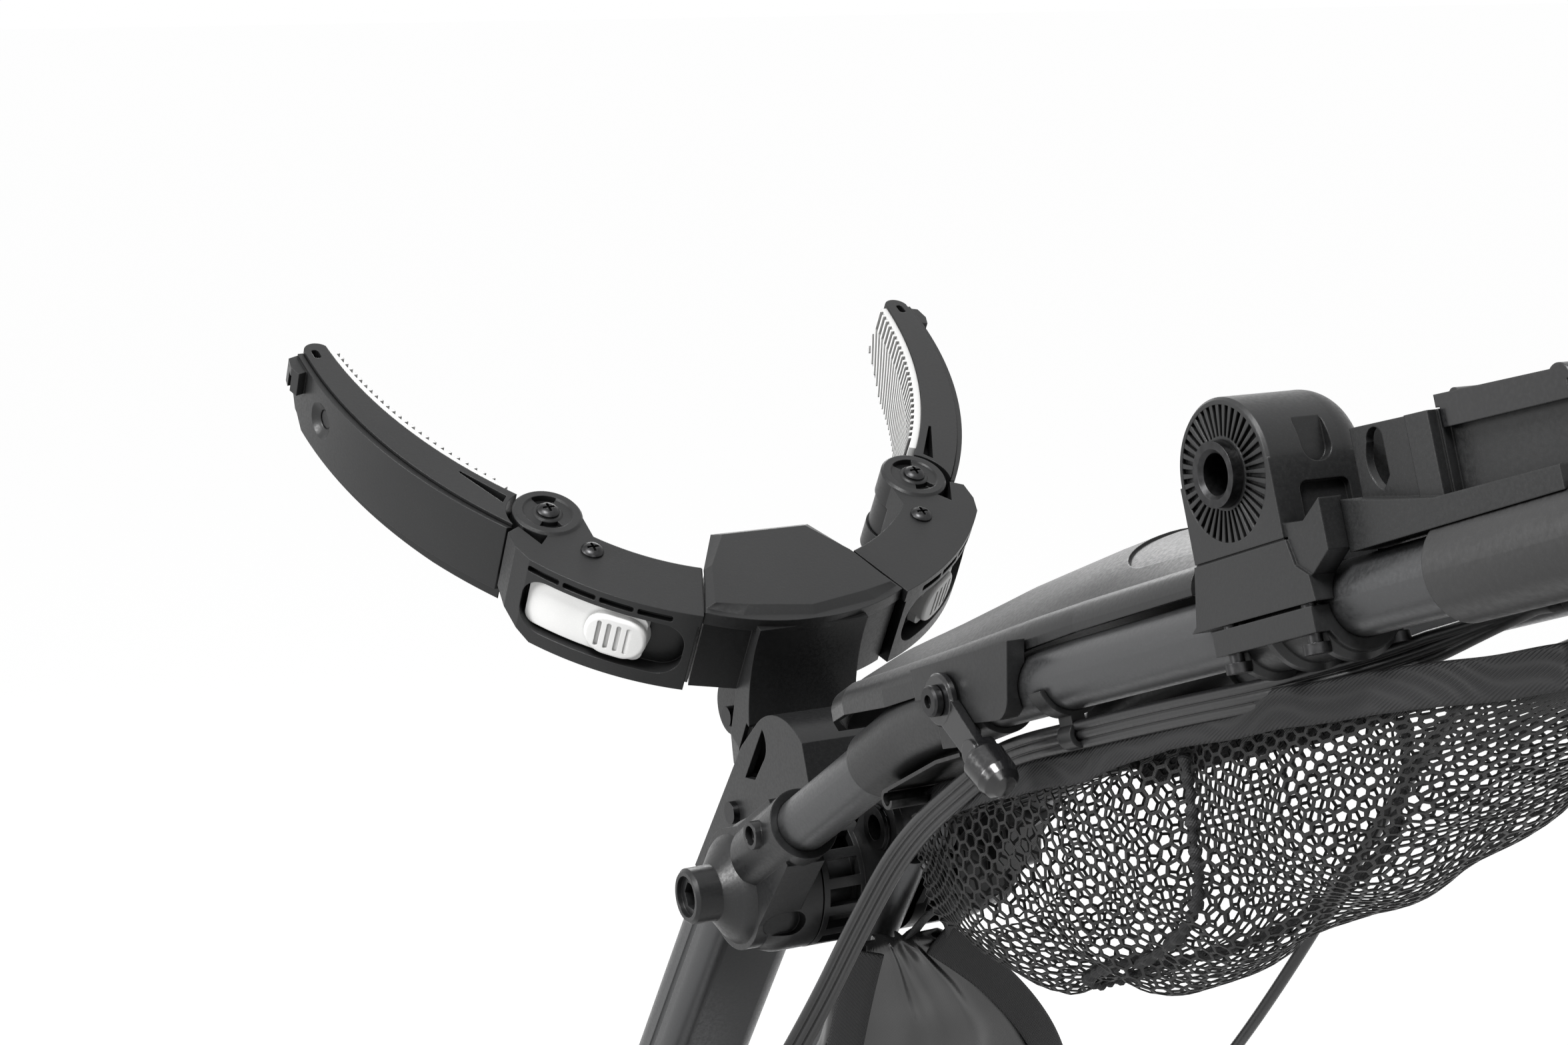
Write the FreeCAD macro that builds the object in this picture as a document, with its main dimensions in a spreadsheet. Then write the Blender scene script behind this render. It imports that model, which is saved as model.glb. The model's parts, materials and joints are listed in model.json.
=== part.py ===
"""Golf push trolley, built as a parametric assembly of separate pieces.

Millimetres, +Z up, +Y towards the front wheel, +X to the right seen from the handle.
The origin is on the ground at the middle of the whole trolley's footprint.
"""
import FreeCAD, Part
import math
import os

import Sketcher

V = FreeCAD.Vector
X_AXIS, Y_AXIS, Z_AXIS = V(1, 0, 0), V(0, 1, 0), V(0, 0, 1)

# ---------------------------------------------------------------- driving dimensions

SIZES = {
    # where the bag cradle sits on the trolley
    "cradle_up": 820.0, "cradle_forward": 96.0, "cradle_tilt": 27.6,
    "ring_centre": 86.0, "ring_bore": 115.0, "ring_rim": 149.0, "ring_wall": 152.0, "ring_depth": 47.0,
    "knuckle_across": 103.0, "knuckle_forward": 31.3, "knuckle_disc": 17.5, "arm_swing": 45.0,
    "arm_open_left": 2.5, "arm_open_right": 0.0,
    "latch_travel": 3.5,
    # main tube, measured across its rounded section
    "spine_tilt": 32.5, "spine_across": 54.0, "spine_deep": 36.0, "spine_corner": 11.0,
    "spine_wall": 2.5, "spine_top": 140.0, "spine_bottom": -425.0, "spine_bore": 7.2,
    "stay_radius": 11.0, "stay_length": 438.0, "stay_eye": 15.5, "stay_eye_across": 23.2,
    # hub that the handle folds on
    "hub_back": -105.0, "hub_drop": -142.0, "drum_radius": 32.0, "drum_half": 37.6,
    "hinge_pin": 8.0, "hinge_pin_length": 164.0, "stay_bore": 10.05,
    # side tubes and handle
    "tube_half_gap": 60.0, "tube_radius": 12.7, "tube_wall": 1.6,
    "lever_across": 35.0, "lever_pin": 3.0, "lever_pin_length": 54.0,
    "handle_rise": 21.6, "elbow_back": -218.3, "elbow_drop": -37.5, "handle_reach": 540.0,
    # accessory mount
    "mount_from": 279.0, "mount_span": 68.0, "mount_face": 80.0, "rosette_radius": 25.0,
    "insert_thread": 7.0, "insert_ring": 11.0, "insert_length": 20.0,
    # wheels and legs
    "rear_tyre": 145.0, "front_tyre": 125.0, "tyre_across": 46.0, "axle_radius": 6.0,
    "rear_half_track": 290.0, "rear_axle_back": -150.0, "front_axle_forward": 420.0,
    "leg_pivot_half": 75.0, "leg_pivot_forward": 110.0, "leg_pivot_drop": -440.0, "leg_swing": 80.0,
    "leg_radius": 12.7, "cable_across": 5.0, "running_gap": 0.4,
}

doc = FreeCAD.newDocument("GolfTrolley")
sheet = doc.addObject("Spreadsheet::Sheet", "Sizes")
for row, (alias, value) in enumerate(SIZES.items(), start=1):
    sheet.set("A%d" % row, alias)
    sheet.set("B%d" % row, str(value))
    sheet.setAlias("B%d" % row, alias)
doc.recompute()


def size(alias):
    """Read one driving dimension from the sheet."""
    return float(sheet.get(alias))


# ---------------------------------------------------------------- frames

def frame(forward, up, tilt=0.0, across=0.0):
    """Frame tilted about X, given from the cradle's origin in the upright trolley."""
    base = V(across, forward + size("cradle_forward"), up + size("cradle_up"))
    return FreeCAD.Placement(base, FreeCAD.Rotation(X_AXIS, tilt))


TROLLEY = frame(0, 0)
CRADLE = frame(0, 0, size("cradle_tilt"))
SPINE = frame(43.6, -240.0, size("spine_tilt"))
HUB = frame(size("hub_back"), size("hub_drop"))
HANDLE = frame(size("elbow_back"), size("elbow_drop"), -size("handle_rise"))
LOWER_DROP = 585.0
LOWER = CRADLE.multiply(FreeCAD.Placement(V(0, 0, -LOWER_DROP), FreeCAD.Rotation()))

# ---------------------------------------------------------------- building helpers

pieces = {}


def keep(label, obj):
    """Register a document object as one sub-part of the trolley."""
    obj.Label = label
    pieces[label] = obj
    return obj


def shaped(label, shape, placement=FreeCAD.Placement()):
    """Sub-part whose shape is worked out below, moved into its frame."""
    feature = doc.addObject("Part::Feature", label)
    feature.Shape = shape
    feature.Placement = placement.multiply(shape.Placement)
    return keep(label, feature)


def outline_geometry(path):
    """Curves of a closed outline: (x, y) ends a straight run, (mx, my, x, y) an arc."""
    curves = []
    here = V(path[-1][-2], path[-1][-1], 0)
    for step in path:
        end = V(step[-2], step[-1], 0)
        if len(step) == 4:
            curves.append(Part.Arc(here, V(step[0], step[1], 0), end))
        elif end.distanceToPoint(here) > 1e-6:
            curves.append(Part.LineSegment(here, end))
        here = end
    return curves


def outline_face(path):
    """Flat face in the XY plane inside a closed outline."""
    return Part.Face(Part.Wire([curve.toShape() for curve in outline_geometry(path)]))


def prism(path, low, high):
    """Outline in the XY plane, raised from low to high."""
    face = outline_face(path)
    face.translate(V(0, 0, low))
    return face.extrude(V(0, 0, high - low))


def side_prism(path, left, right):
    """Outline given as (forward, up), spread across X from left to right."""
    solid = prism(path, 0, right - left)
    solid.Placement = FreeCAD.Placement(V(left, 0, 0), FreeCAD.Rotation(V(1, 1, 1), 120))
    return solid


def box(low, high):
    """Box between two corners."""
    return Part.makeBox(high[0] - low[0], high[1] - low[1], high[2] - low[2], V(*low))


def rod(start, end, radius):
    """Cylinder between two points."""
    start, end = V(*start), V(*end)
    return Part.makeCylinder(radius, (end - start).Length, start, end - start)


def turned(path, start, direction):
    """Outline of (radius, along) turned about an axis from start in a direction."""
    face = outline_face(path)
    face.rotate(V(0, 0, 0), X_AXIS, 90)
    solid = face.revolve(V(0, 0, 0), Z_AXIS, 360)
    turn = FreeCAD.Rotation(Z_AXIS, V(*direction))
    solid.Placement = FreeCAD.Placement(V(*start), turn)
    return solid


def fused(*shapes):
    """One solid from several touching ones."""
    whole = shapes[0].fuse(list(shapes[1:])) if len(shapes) > 1 else shapes[0]
    return whole.removeSplitter()


def group(*shapes):
    """Separate solids that share one node."""
    return Part.makeCompound(list(shapes))


def mirrored(shape):
    """The same shape on the other side of the trolley's middle."""
    return shape.mirror(V(0, 0, 0), X_AXIS)


def rounded_rect(across, deep, corner):
    """Outline of a rectangle with round corners, centred on the origin."""
    a, b, c = across / 2.0, deep / 2.0, corner
    k = c * (1 - math.sqrt(0.5))
    return [(a, -b + c), (a, b - c), (a - k, b - k, a - c, b), (-a + c, b),
            (-a + k, b - k, -a, b - c), (-a, -b + c), (-a + k, -b + k, -a + c, -b),
            (a - c, -b), (a - k, -b + k, a, -b + c)]


def hoop(middle, radius):
    """Outline of a circle."""
    x, y = middle
    return [(x, y + radius, x - radius, y), (x, y - radius, x + radius, y)]


def run_wire(points, radii=None):
    """Straight runs joined by tangent arcs through a list of points."""
    points = [V(*point) for point in points]
    edges, here = [], points[0]
    for index in range(1, len(points) - 1):
        corner = points[index]
        back, ahead = points[index - 1] - corner, points[index + 1] - corner
        turn = math.pi - back.getAngle(ahead)
        if radii:
            radius = radii[index - 1]
        else:
            radius = 0.45 * min(back.Length, ahead.Length) / math.tan(turn / 2)
        cut = radius * math.tan(turn / 2)
        back.normalize()
        ahead.normalize()
        first, last = corner + back * cut, corner + ahead * cut
        middle = corner + (back + ahead).normalize() * (radius / math.cos(turn / 2) - radius)
        edges.append(Part.LineSegment(here, first).toShape())
        edges.append(Part.Arc(first, middle, last).toShape())
        here = last
    edges.append(Part.LineSegment(here, points[-1]).toShape())
    return Part.Wire(edges)


def pipe(points, radius, radii=None):
    """Round bar along straight runs and tangent arcs."""
    wire = run_wire(points, radii)
    start, ahead = V(*points[0]), V(*points[1]) - V(*points[0])
    ring = Part.Wire(Part.makeCircle(radius, start, ahead))
    solid = wire.makePipeShell([ring], True, False)
    return solid


def plane_of(body, role):
    """Origin plane of a body, found by its role."""
    return [item for item in body.Origin.OriginFeatures if item.Role == role][0]


def sketched(body, name, path, role):
    """Closed sketch on one of the body's own origin planes, its corners tied together."""
    sketch = body.newObject("Sketcher::SketchObject", name)
    sketch.AttachmentSupport = [(plane_of(body, role), "")]
    sketch.MapMode = "FlatFace"
    sketch.addGeometry(outline_geometry(path), False)
    return sketch


def layered(label, steps, placement=FreeCAD.Placement()):
    """PartDesign body of closed sketches, each padded or pocketed evenly to both sides of its plane.

    A step is the feature, the plane, the outline and the length as a formula of the sheet.
    """
    body = doc.addObject("PartDesign::Body", label)
    for number, (kind, role, path, formula) in enumerate(steps):
        sketch = sketched(body, "%s_outline_%d" % (label, number), path, role)
        feature = body.newObject("PartDesign::" + kind, "%s_%s_%d" % (label, kind.lower(), number))
        feature.Profile = sketch
        feature.Midplane = True
        feature.setExpression("Length", formula)
    body.Placement = placement
    return keep(label, body)


def cylinder(label, radius, length, middle, direction=X_AXIS, base=FreeCAD.Placement()):
    """Part cylinder with its radius and length as formulas of the sheet, centred on a point."""
    item = doc.addObject("Part::Cylinder", label)
    item.setExpression("Radius", radius)
    item.setExpression("Height", length)
    doc.recompute()
    start = V(*middle) - V(*direction) * (item.Height.Value / 2.0)
    item.Placement = base.multiply(FreeCAD.Placement(start, FreeCAD.Rotation(Z_AXIS, direction)))
    return item


def joined(kind, label, members):
    """Part boolean of several document objects, its seams cleaned up."""
    item = doc.addObject("Part::" + kind, label)
    if kind == "Cut":
        item.Base, item.Tool = members
    else:
        item.Shapes = members
    item.Refine = True
    return item

# ---------------------------------------------------------------- bag cradle

CENTRE = V(0, size("ring_centre"), 0)
KNUCKLE = V(size("knuckle_across"), size("knuckle_forward"), 0)
DEPTH = size("ring_depth")
SEAM_ANGLE = 21.5
DISC_TOP, DISC_SPLIT_HIGH, DISC_SPLIT_LOW = 1.2, -13.5, -33.5
SCREW_HEAD, SCREW_SHANK = 5.6, 4.0


def on_ring(radius, angle):
    """Plan point on the cradle's ring; the angle runs out from the middle of its back."""
    turn = math.radians(angle)
    return (radius * math.sin(turn), CENTRE.y - radius * math.cos(turn))


def around(centre, radius, angle):
    """Plan point round a centre, angle from +X."""
    turn = math.radians(angle)
    return (centre.x + radius * math.cos(turn), centre.y + radius * math.sin(turn))


def ring_sector(inner, outer, first, last, low, high):
    """Block bounded by two radii of the cradle's ring and two angles."""
    middle = (first + last) / 2.0
    path = [on_ring(outer, first), on_ring(outer, middle) + on_ring(outer, last),
            on_ring(inner, last), on_ring(inner, middle) + on_ring(inner, first)]
    return prism(path, low, high)


def pan_screw(at, high, low, head=SCREW_HEAD, shank=SCREW_SHANK, height=2.6):
    """Pan-head screw standing along Z with a cross recess; high is the seat of its head."""
    dome = turned([(0, 0), (head, 0), (head, height * 0.35),
                   (head * 0.75, height * 0.9, 0, height)], (0, 0, high), (0, 0, 1))
    dome.translate(V(at[0], at[1], 0))
    shaft = rod((at[0], at[1], low), (at[0], at[1], high), shank)
    recess = [box((at[0] - a, at[1] - b, high + height * 0.35), (at[0] + a, at[1] + b, high + height + 1))
              for a, b in ((head * 0.55, 0.7), (0.7, head * 0.55))]
    return fused(dome, shaft).cut(recess)


def facing(path, angle, near, far):
    """Outline seen square on from outside the ring, as (further round, up), raised from one radius to another."""
    turn = math.radians(angle)
    outward = V(math.sin(turn), -math.cos(turn), 0)
    solid = prism(path, near, far)
    solid.Placement = FreeCAD.Placement(CENTRE, FreeCAD.Rotation(V(math.cos(turn), math.sin(turn), 0), Z_AXIS,
                                                                 outward, "XYZ"))
    return solid


def stadium(first, last, low, high, corner):
    """Outline of a rectangle with round corners, given by its edges."""
    middle = V((first + last) / 2.0, (low + high) / 2.0, 0)
    return [tuple(value + (middle.x, middle.y)[index % 2] for index, value in enumerate(step))
            for step in rounded_rect(last - first, high - low, corner)]


NOSE_RISE = 3.0
BARREL_HALF = 29.5
BARREL_LOW = -88.0


def cradle_centre():
    """Casting in the middle of the cradle's back: raised nose, smooth barrel, a scoop each side and a lower ear."""
    rim = 152.0
    plate = prism([(25, 2.7), (40.5, -22), on_ring(149, SEAM_ANGLE - 0.3),
                   on_ring(151.4, 12) + on_ring(rim, 0), on_ring(151.4, -12) + on_ring(149, -SEAM_ANGLE + 0.3),
                   (-40.5, -22), (-25, 2.7)], -7, 0)
    nose = []
    for grow, height in ((0.0, 0.0), (-4.0, NOSE_RISE)):
        corners = [(27 + grow, 2.6 + grow), (42 + grow, -23), (52 + grow, -50), (36 + grow, -58 - grow),
                   (0, -63.5 - grow), (-36 - grow, -58 - grow), (-52 - grow, -50), (-42 - grow, -23),
                   (-27 - grow, 2.6 + grow)]
        wire = Part.makePolygon([V(x, y, height) for x, y in corners + corners[:1]])
        nose.append(wire)
    cap = Part.makeLoft(nose, True, True)
    wings = prism([(20, -4), (39.5, -24), on_ring(148, SEAM_ANGLE - 0.6), on_ring(rim - 2, 6) + on_ring(rim - 2, -6),
                   on_ring(148, -SEAM_ANGLE + 0.6), (-39.5, -24), (-20, -4)], -47, -6)
    under = prism([(16, -9), (33, -26), (24, -48), (-24, -48), (-33, -26), (-16, -9)], -48, -7)
    scoops = []
    for side in (-1, 1):
        scoops.append(Part.makeCone(15.5, 5.0, 43, V(side * 45, -72, -51), V(-side * 6, 5, 45)))
        scoops.append(box((min(side * 28, side * 70), -90, -60), (max(side * 28, side * 70), -55, -47)))
    barrel = side_prism([(-46, -4), (-66, -4), (-68, -30, -78, -54), (-81, -64), (-83, BARREL_LOW),
                         (-69, BARREL_LOW), (-60, -52)], -BARREL_HALF, BARREL_HALF)
    taper = [side_prism([(-40, -60), (-100, -60), (-100, -100), (-40, -100)], side * 44 - 12, side * 44 + 12)
             for side in (-1, 1)]
    for side, wedge in zip((-1, 1), taper):
        wedge.rotate(V(side * 32, 0, -60), Y_AXIS, side * 12)
    lip = side_prism([(-72, -83.5), (-84.2, -83.5), (-84.2, -86), (-72, -86)], -25.5, 25.5)
    ear = side_prism([(-62, -50), (-38, -60), (-38, -88, -48, -88), (-62, -82)], -19.5, 19.5)
    ear_bore = rod((-30, -48.5, -76), (30, -48.5, -76), 3.1)
    ear_gap = box((-13, -57, -90), (13, -30, -56))
    solid = fused(plate, wings).cut([under] + scoops)
    clear = [box((27, -90, -92), (34, -75.4, -55)), box((-34, -90, -92), (-27, -75.4, -55))]
    solid = fused(solid, cap, barrel.cut(taper + clear), lip, ear)
    return solid.cut([ear_bore, ear_gap])


POCKET = stadium(-44.0, 38.5, -39.5, -9.0, 12.0)
LATCH_PLATE = stadium(-25.0, 36.0, -37.6, -10.8, 5.0)
THUMB = stadium(-26.5, 4.5, -36.2, -12.4, 11.6)
LATCH_ANGLE = 40.5


def shoulder():
    """Right shoulder of the ring: hollow sector with the latch's pocket, ending in the discs of the knuckle."""
    end, wall_out = 55.0, size("ring_wall")
    solid = ring_sector(size("ring_bore"), wall_out, SEAM_ANGLE, end, -7, 0)
    wall = ring_sector(size("ring_bore"), wall_out, SEAM_ANGLE + 0.5, end, -DEPTH, -3)
    toe = prism([on_ring(139, end - 1), on_ring(wall_out, end - 1), on_ring(wall_out, end), on_ring(149, 59),
                 on_ring(143.5, 62.8), on_ring(136, 62.8)], -DEPTH, 0)
    chamfer = facing([(60, -30), (60, -60), (8, -60), (30, -DEPTH)], LATCH_ANGLE, 100, 170)
    discs = turned([(0, -DEPTH), (size("knuckle_disc"), -DEPTH), (size("knuckle_disc"), DISC_TOP - 1.2),
                    (size("knuckle_disc") - 1.2, DISC_TOP), (12.6, DISC_TOP), (11.8, DISC_TOP - 0.8),
                    (7.6, DISC_TOP - 0.8), (6.8, DISC_TOP), (0, DISC_TOP)], (KNUCKLE.x, KNUCKLE.y, 0), (0, 0, 1))
    web = prism([on_ring(size("ring_bore"), end - 6), around(KNUCKLE, 17.4, 200), around(KNUCKLE, 17.4, 290),
                 on_ring(wall_out - 2, end)], -DEPTH, 0)
    swing = rod((KNUCKLE.x, KNUCKLE.y, DISC_SPLIT_LOW), (KNUCKLE.x, KNUCKLE.y, DISC_SPLIT_HIGH), 18.4)
    hollow = ring_sector(size("ring_bore") + 4, 139, SEAM_ANGLE - 2, end - 17, -DEPTH - 1, -6)
    pocket = facing(POCKET, LATCH_ANGLE, 120, 170).common(ring_sector(143.2, 160, 20, 62, -DEPTH, 0))
    ladder = [facing(stadium(start, start + 17, -6.6, -3.2, 1.2), LATCH_ANGLE, 120, 170).common(
        ring_sector(148.6, 160, 20, 62, -8, -1)) for start in (-36, -17, 2, 21)]
    holes = [rod((KNUCKLE.x, KNUCKLE.y, -60), (KNUCKLE.x, KNUCKLE.y, 9), SCREW_SHANK + 0.05),
             rod((91.6, 0, -26), (91.6, 0, 9), SCREW_SHANK + 0.05)]
    arcs = [prism([around(KNUCKLE, 12.6, first), around(KNUCKLE, 12.6, first + 30) + around(KNUCKLE, 12.6, first + 60),
                   around(KNUCKLE, 7.6, first + 60), around(KNUCKLE, 7.6, first + 30) + around(KNUCKLE, 7.6, first)],
                  -2.4, 2) for first in (70, 250)]
    whole = fused(solid, wall, toe, web).cut(chamfer)
    return fused(whole, discs).cut([swing, hollow, pocket] + ladder + holes + arcs)


def latch():
    """Right latch: a curved slide plate in the shoulder's pocket with a grooved thumb pad."""
    plate = facing(LATCH_PLATE, LATCH_ANGLE, 120, 170).common(ring_sector(144.0, 148.4, 24, 62, -DEPTH, 0))
    thumb = facing(THUMB, LATCH_ANGLE, 120, 170).common(ring_sector(144.0, 152.6, 24, 62, -DEPTH, 0))
    rim = [edge for edge in thumb.Edges if min(
        math.hypot(vertex.X, vertex.Y - CENTRE.y) for vertex in edge.Vertexes) > 152.0]
    thumb = thumb.makeFillet(2.0, rim)
    grooves = [facing(stadium(at, at + 2.1, -32, -16.6, 1.0), LATCH_ANGLE, 151.2, 170) for at in (-18.5, -13.6, -8.7, -3.8)]
    return fused(plate, thumb).cut(grooves)


ARM_INNER = [(112.0, 48.5), (141.0, 96.5), (162.0, 184.0)]
ARM_SEAM = [(123.2, 27.0), (157.0, 87.0), (174.6, 182.0)]
ARM_TIP = (169.5, 187.0)
ARM_END = around(KNUCKLE, 20.4, 25)
PAD_THICK, COVER_THICK, COVER_GAP = 3.6, 2.8, 0.25
PAD_HIGH, PAD_LOW = -1.2, -42.5
RIBS, RIB_FIRST, RIB_LAST, RIB_WIDE, RIB_BEND, RIB_SLANT = 25, 64.0, 178.0, 1.8, -13.0, 17.0
DIMPLE = (186.5, 146.0, -19.0)
DIMPLE_RADIUS = 14.5


def arm_frame():
    """Right arm of the cradle: a curved channel with a tongue that turns in the knuckle."""
    (start, middle, tip), (back, bow, end) = ARM_INNER, ARM_SEAM
    beam = prism([ARM_TIP + end, bow + back, ARM_END + start, middle + tip], -DEPTH, 0)
    tongue = prism([around(KNUCKLE, 12, -20), (131, 42), (122, 66), around(KNUCKLE, 15, 75)], -32.9, -14.1)
    disc = rod((KNUCKLE.x, KNUCKLE.y, -32.9), (KNUCKLE.x, KNUCKLE.y, -14.1), 16.4)
    bore = rod((KNUCKLE.x, KNUCKLE.y, -60), (KNUCKLE.x, KNUCKLE.y, 9), SCREW_SHANK + 0.08)
    slope = side_prism([(60, -DEPTH - 9), (60, -DEPTH), (172, -43.5), (192, -30), (192, -DEPTH - 9)], 90, 200)
    triangle = prism([(117.6, 48.4), (121.4, 44.0), (134.0, 71.0), (132.6, 71.3)], -9, 1)
    lighten = prism([(134, 73), (158, 100, 166.5, 150), (160.5, 150), (150, 106, 131, 74)], -60, -6)
    eye = prism(stadium(167.4, 171.2, 174.5, 181.5, 1.5), -60, 1)
    dish = Part.makeSphere(DIMPLE_RADIUS, V(*DIMPLE))
    return fused(beam, disc, tongue).cut([bore, slope, triangle, lighten, eye, dish])


def arm_cover():
    """Outer skin of the right arm, held off the frame by a seam, with a thumb dimple and a hook near the tip."""
    gap, thick = COVER_GAP, COVER_THICK
    (bx, by), (mx, my), (ex, ey) = ARM_SEAM
    skin = prism([(ex + gap, ey), (mx + gap, my - gap, bx + gap, by - gap), (bx + gap + thick, by - gap),
                  (mx + gap + thick, my - thick * 0.5, ex + gap + thick, ey)], -40.5, -1.8)
    low = side_prism([(10, -60), (10, -40.5), (150, -39), (176, -32), (186, -20), (200, -20), (200, -60)], 90, 200)
    dimple = Part.makeSphere(DIMPLE_RADIUS, V(*DIMPLE))
    latch_hook = prism([(ex + gap, ey - 13), (ex + gap + thick + 4.4, ey - 15), (ex + gap + thick + 6.4, ey - 9),
                        (ex + gap + thick + 5.0, ey - 1), (ex + gap, ey + 1.5)], -17, -3.4)
    notch = prism([(ex + gap + thick - 0.4, ey - 8.5), (ex + gap + thick + 9, ey - 10.5),
                   (ex + gap + thick + 9, ey - 6.5), (ex + gap + thick - 0.4, ey - 5)], -18, -8)
    return fused(skin.cut([low, dimple]), latch_hook).cut(notch)


def arm_pad():
    """Rubber face of the right arm: a curved strip with a bent rib every few millimetres."""
    (sx, sy), (mx, my), (tx, ty) = ARM_INNER
    strip = prism([(tx - 0.1, ty - 3), (mx - 0.1, my + 0.2, sx + 5, sy + 6.5), (sx + 5 - PAD_THICK, sy + 8),
                   (mx - PAD_THICK, my + 1.4, tx - PAD_THICK, ty - 3)], PAD_LOW, PAD_HIGH)
    strip = strip.cut(arm_frame())
    low = side_prism([(10, PAD_LOW), (150, PAD_LOW), (186, -26), (200, -26), (200, -60), (10, -60)], 90, 200)
    ribs = []
    for index in range(RIBS + 4):
        along = RIB_FIRST + (RIB_LAST - RIB_FIRST) * index / (RIBS - 1)
        low_along = along - RIB_SLANT
        ribs.append(side_prism([(along, PAD_HIGH), (along + RIB_WIDE, PAD_HIGH), (along + RIB_WIDE, RIB_BEND),
                                (low_along + RIB_WIDE, PAD_LOW), (low_along, PAD_LOW), (along, RIB_BEND)], 95, 185))
    face = prism([(tx - PAD_THICK + 0.2, ty - 4), (mx - PAD_THICK + 0.2, my + 1.2, sx + 3, sy + 10),
                  (sx + 1.6, sy + 10.8), (mx - PAD_THICK - 1.9, my + 2.0, tx - PAD_THICK - 2.0, ty - 4)],
                 PAD_LOW, PAD_HIGH)
    raised = face.common(Part.makeCompound(ribs))
    return fused(strip, *raised.Solids).cut(low)


def opened_arm(shape, side):
    """Arm piece on its own side, turned out from the bag as far as that arm rests."""
    hand = 1 if side == "right" else -1
    resting = shape if side == "right" else mirrored(shape)
    resting.rotate(V(hand * KNUCKLE.x, KNUCKLE.y, 0), Z_AXIS, -hand * size("arm_open_" + side))
    return resting


shaped("cradle_centre", cradle_centre(), CRADLE)
for side, turn_over in (("right", lambda shape: shape), ("left", mirrored)):
    shaped("cradle_shoulder_" + side, turn_over(shoulder()), CRADLE)
    shaped("cradle_latch_" + side, turn_over(latch()), CRADLE)
    shaped("cradle_arm_" + side, opened_arm(arm_frame(), side), CRADLE)
    shaped("arm_cover_" + side, opened_arm(arm_cover(), side), CRADLE)
    shaped("arm_pad_" + side, opened_arm(arm_pad(), side), CRADLE)

knuckle_screw = pan_screw((KNUCKLE.x, KNUCKLE.y), DISC_TOP, -DEPTH - 4)
shoulder_screw = pan_screw((91.6, 0), 0, -24)
shaped("cradle_screws", group(knuckle_screw, shoulder_screw, mirrored(knuckle_screw), mirrored(shoulder_screw)),
       CRADLE)
ear_screw = fused(rod((-24, -48.5, -76), (25, -48.5, -76), 3.0), rod((-24, -48.5, -76), (-19.6, -48.5, -76), 5.2))
ear_nut = side_prism([around(V(-48.5, -76, 0), 6, 60 * corner) for corner in range(6)], 19.7, 24).cut(
    rod((0, -48.5, -76), (30, -48.5, -76), 3.0))
shaped("cradle_bolt", group(ear_screw, ear_nut), CRADLE)

# ---------------------------------------------------------------- main frame

HUB_IN_SPINE = (-72.7, 162.5)
STAY_EYE = (-91.0, 215.4)
STAY_AXIS = -97.2
YOKE_PIVOT = (-51.5, -204.4)
FORK_AXLE = (73.0, -586.0)
PLATE_IN, PLATE_OUT = 27.15, 30.6
FIT = 0.12


def spine_blank(grow, low, high):
    """The main tube's rounded section, grown on every side, between two heights."""
    path = rounded_rect(size("spine_across") + 2 * grow, size("spine_deep") + 2 * grow,
                        size("spine_corner") + grow)
    return prism(path, low, high)


def main_tube():
    """Rounded rectangular extrusion with a groove at half depth along each side, drilled for its bolts."""
    across, deep, corner, wall = (size("spine_" + name) for name in ("across", "deep", "corner", "wall"))
    middle, side = (size("spine_top") + size("spine_bottom")) / 2.0, across / 2.0
    outside = rounded_rect(across, deep, corner)
    outside[5:5] = [(-side, 2.0), (1.3 - side, 0, -side, -2.0)]
    outside[1:1] = [(side, -2.0), (side - 1.3, 0, side, 2.0)]
    inside = rounded_rect(across - 2 * wall, deep - 2 * wall, corner - wall)
    steps = [("Pad", "XY_Plane", outside, "Sizes.spine_top - Sizes.spine_bottom"),
             ("Pocket", "XY_Plane", inside, "Sizes.spine_top - Sizes.spine_bottom + 2")]
    steps += [("Pocket", "YZ_Plane", hoop((y, z - middle), size("spine_bore") / 2), "Sizes.spine_across + 20")
              for y, z in ((-4.4, 131.0), (-2.5, 94.0), (0, -400))]
    return layered("main_tube", steps, SPINE.multiply(FreeCAD.Placement(V(0, 0, middle), FreeCAD.Rotation())))


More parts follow.
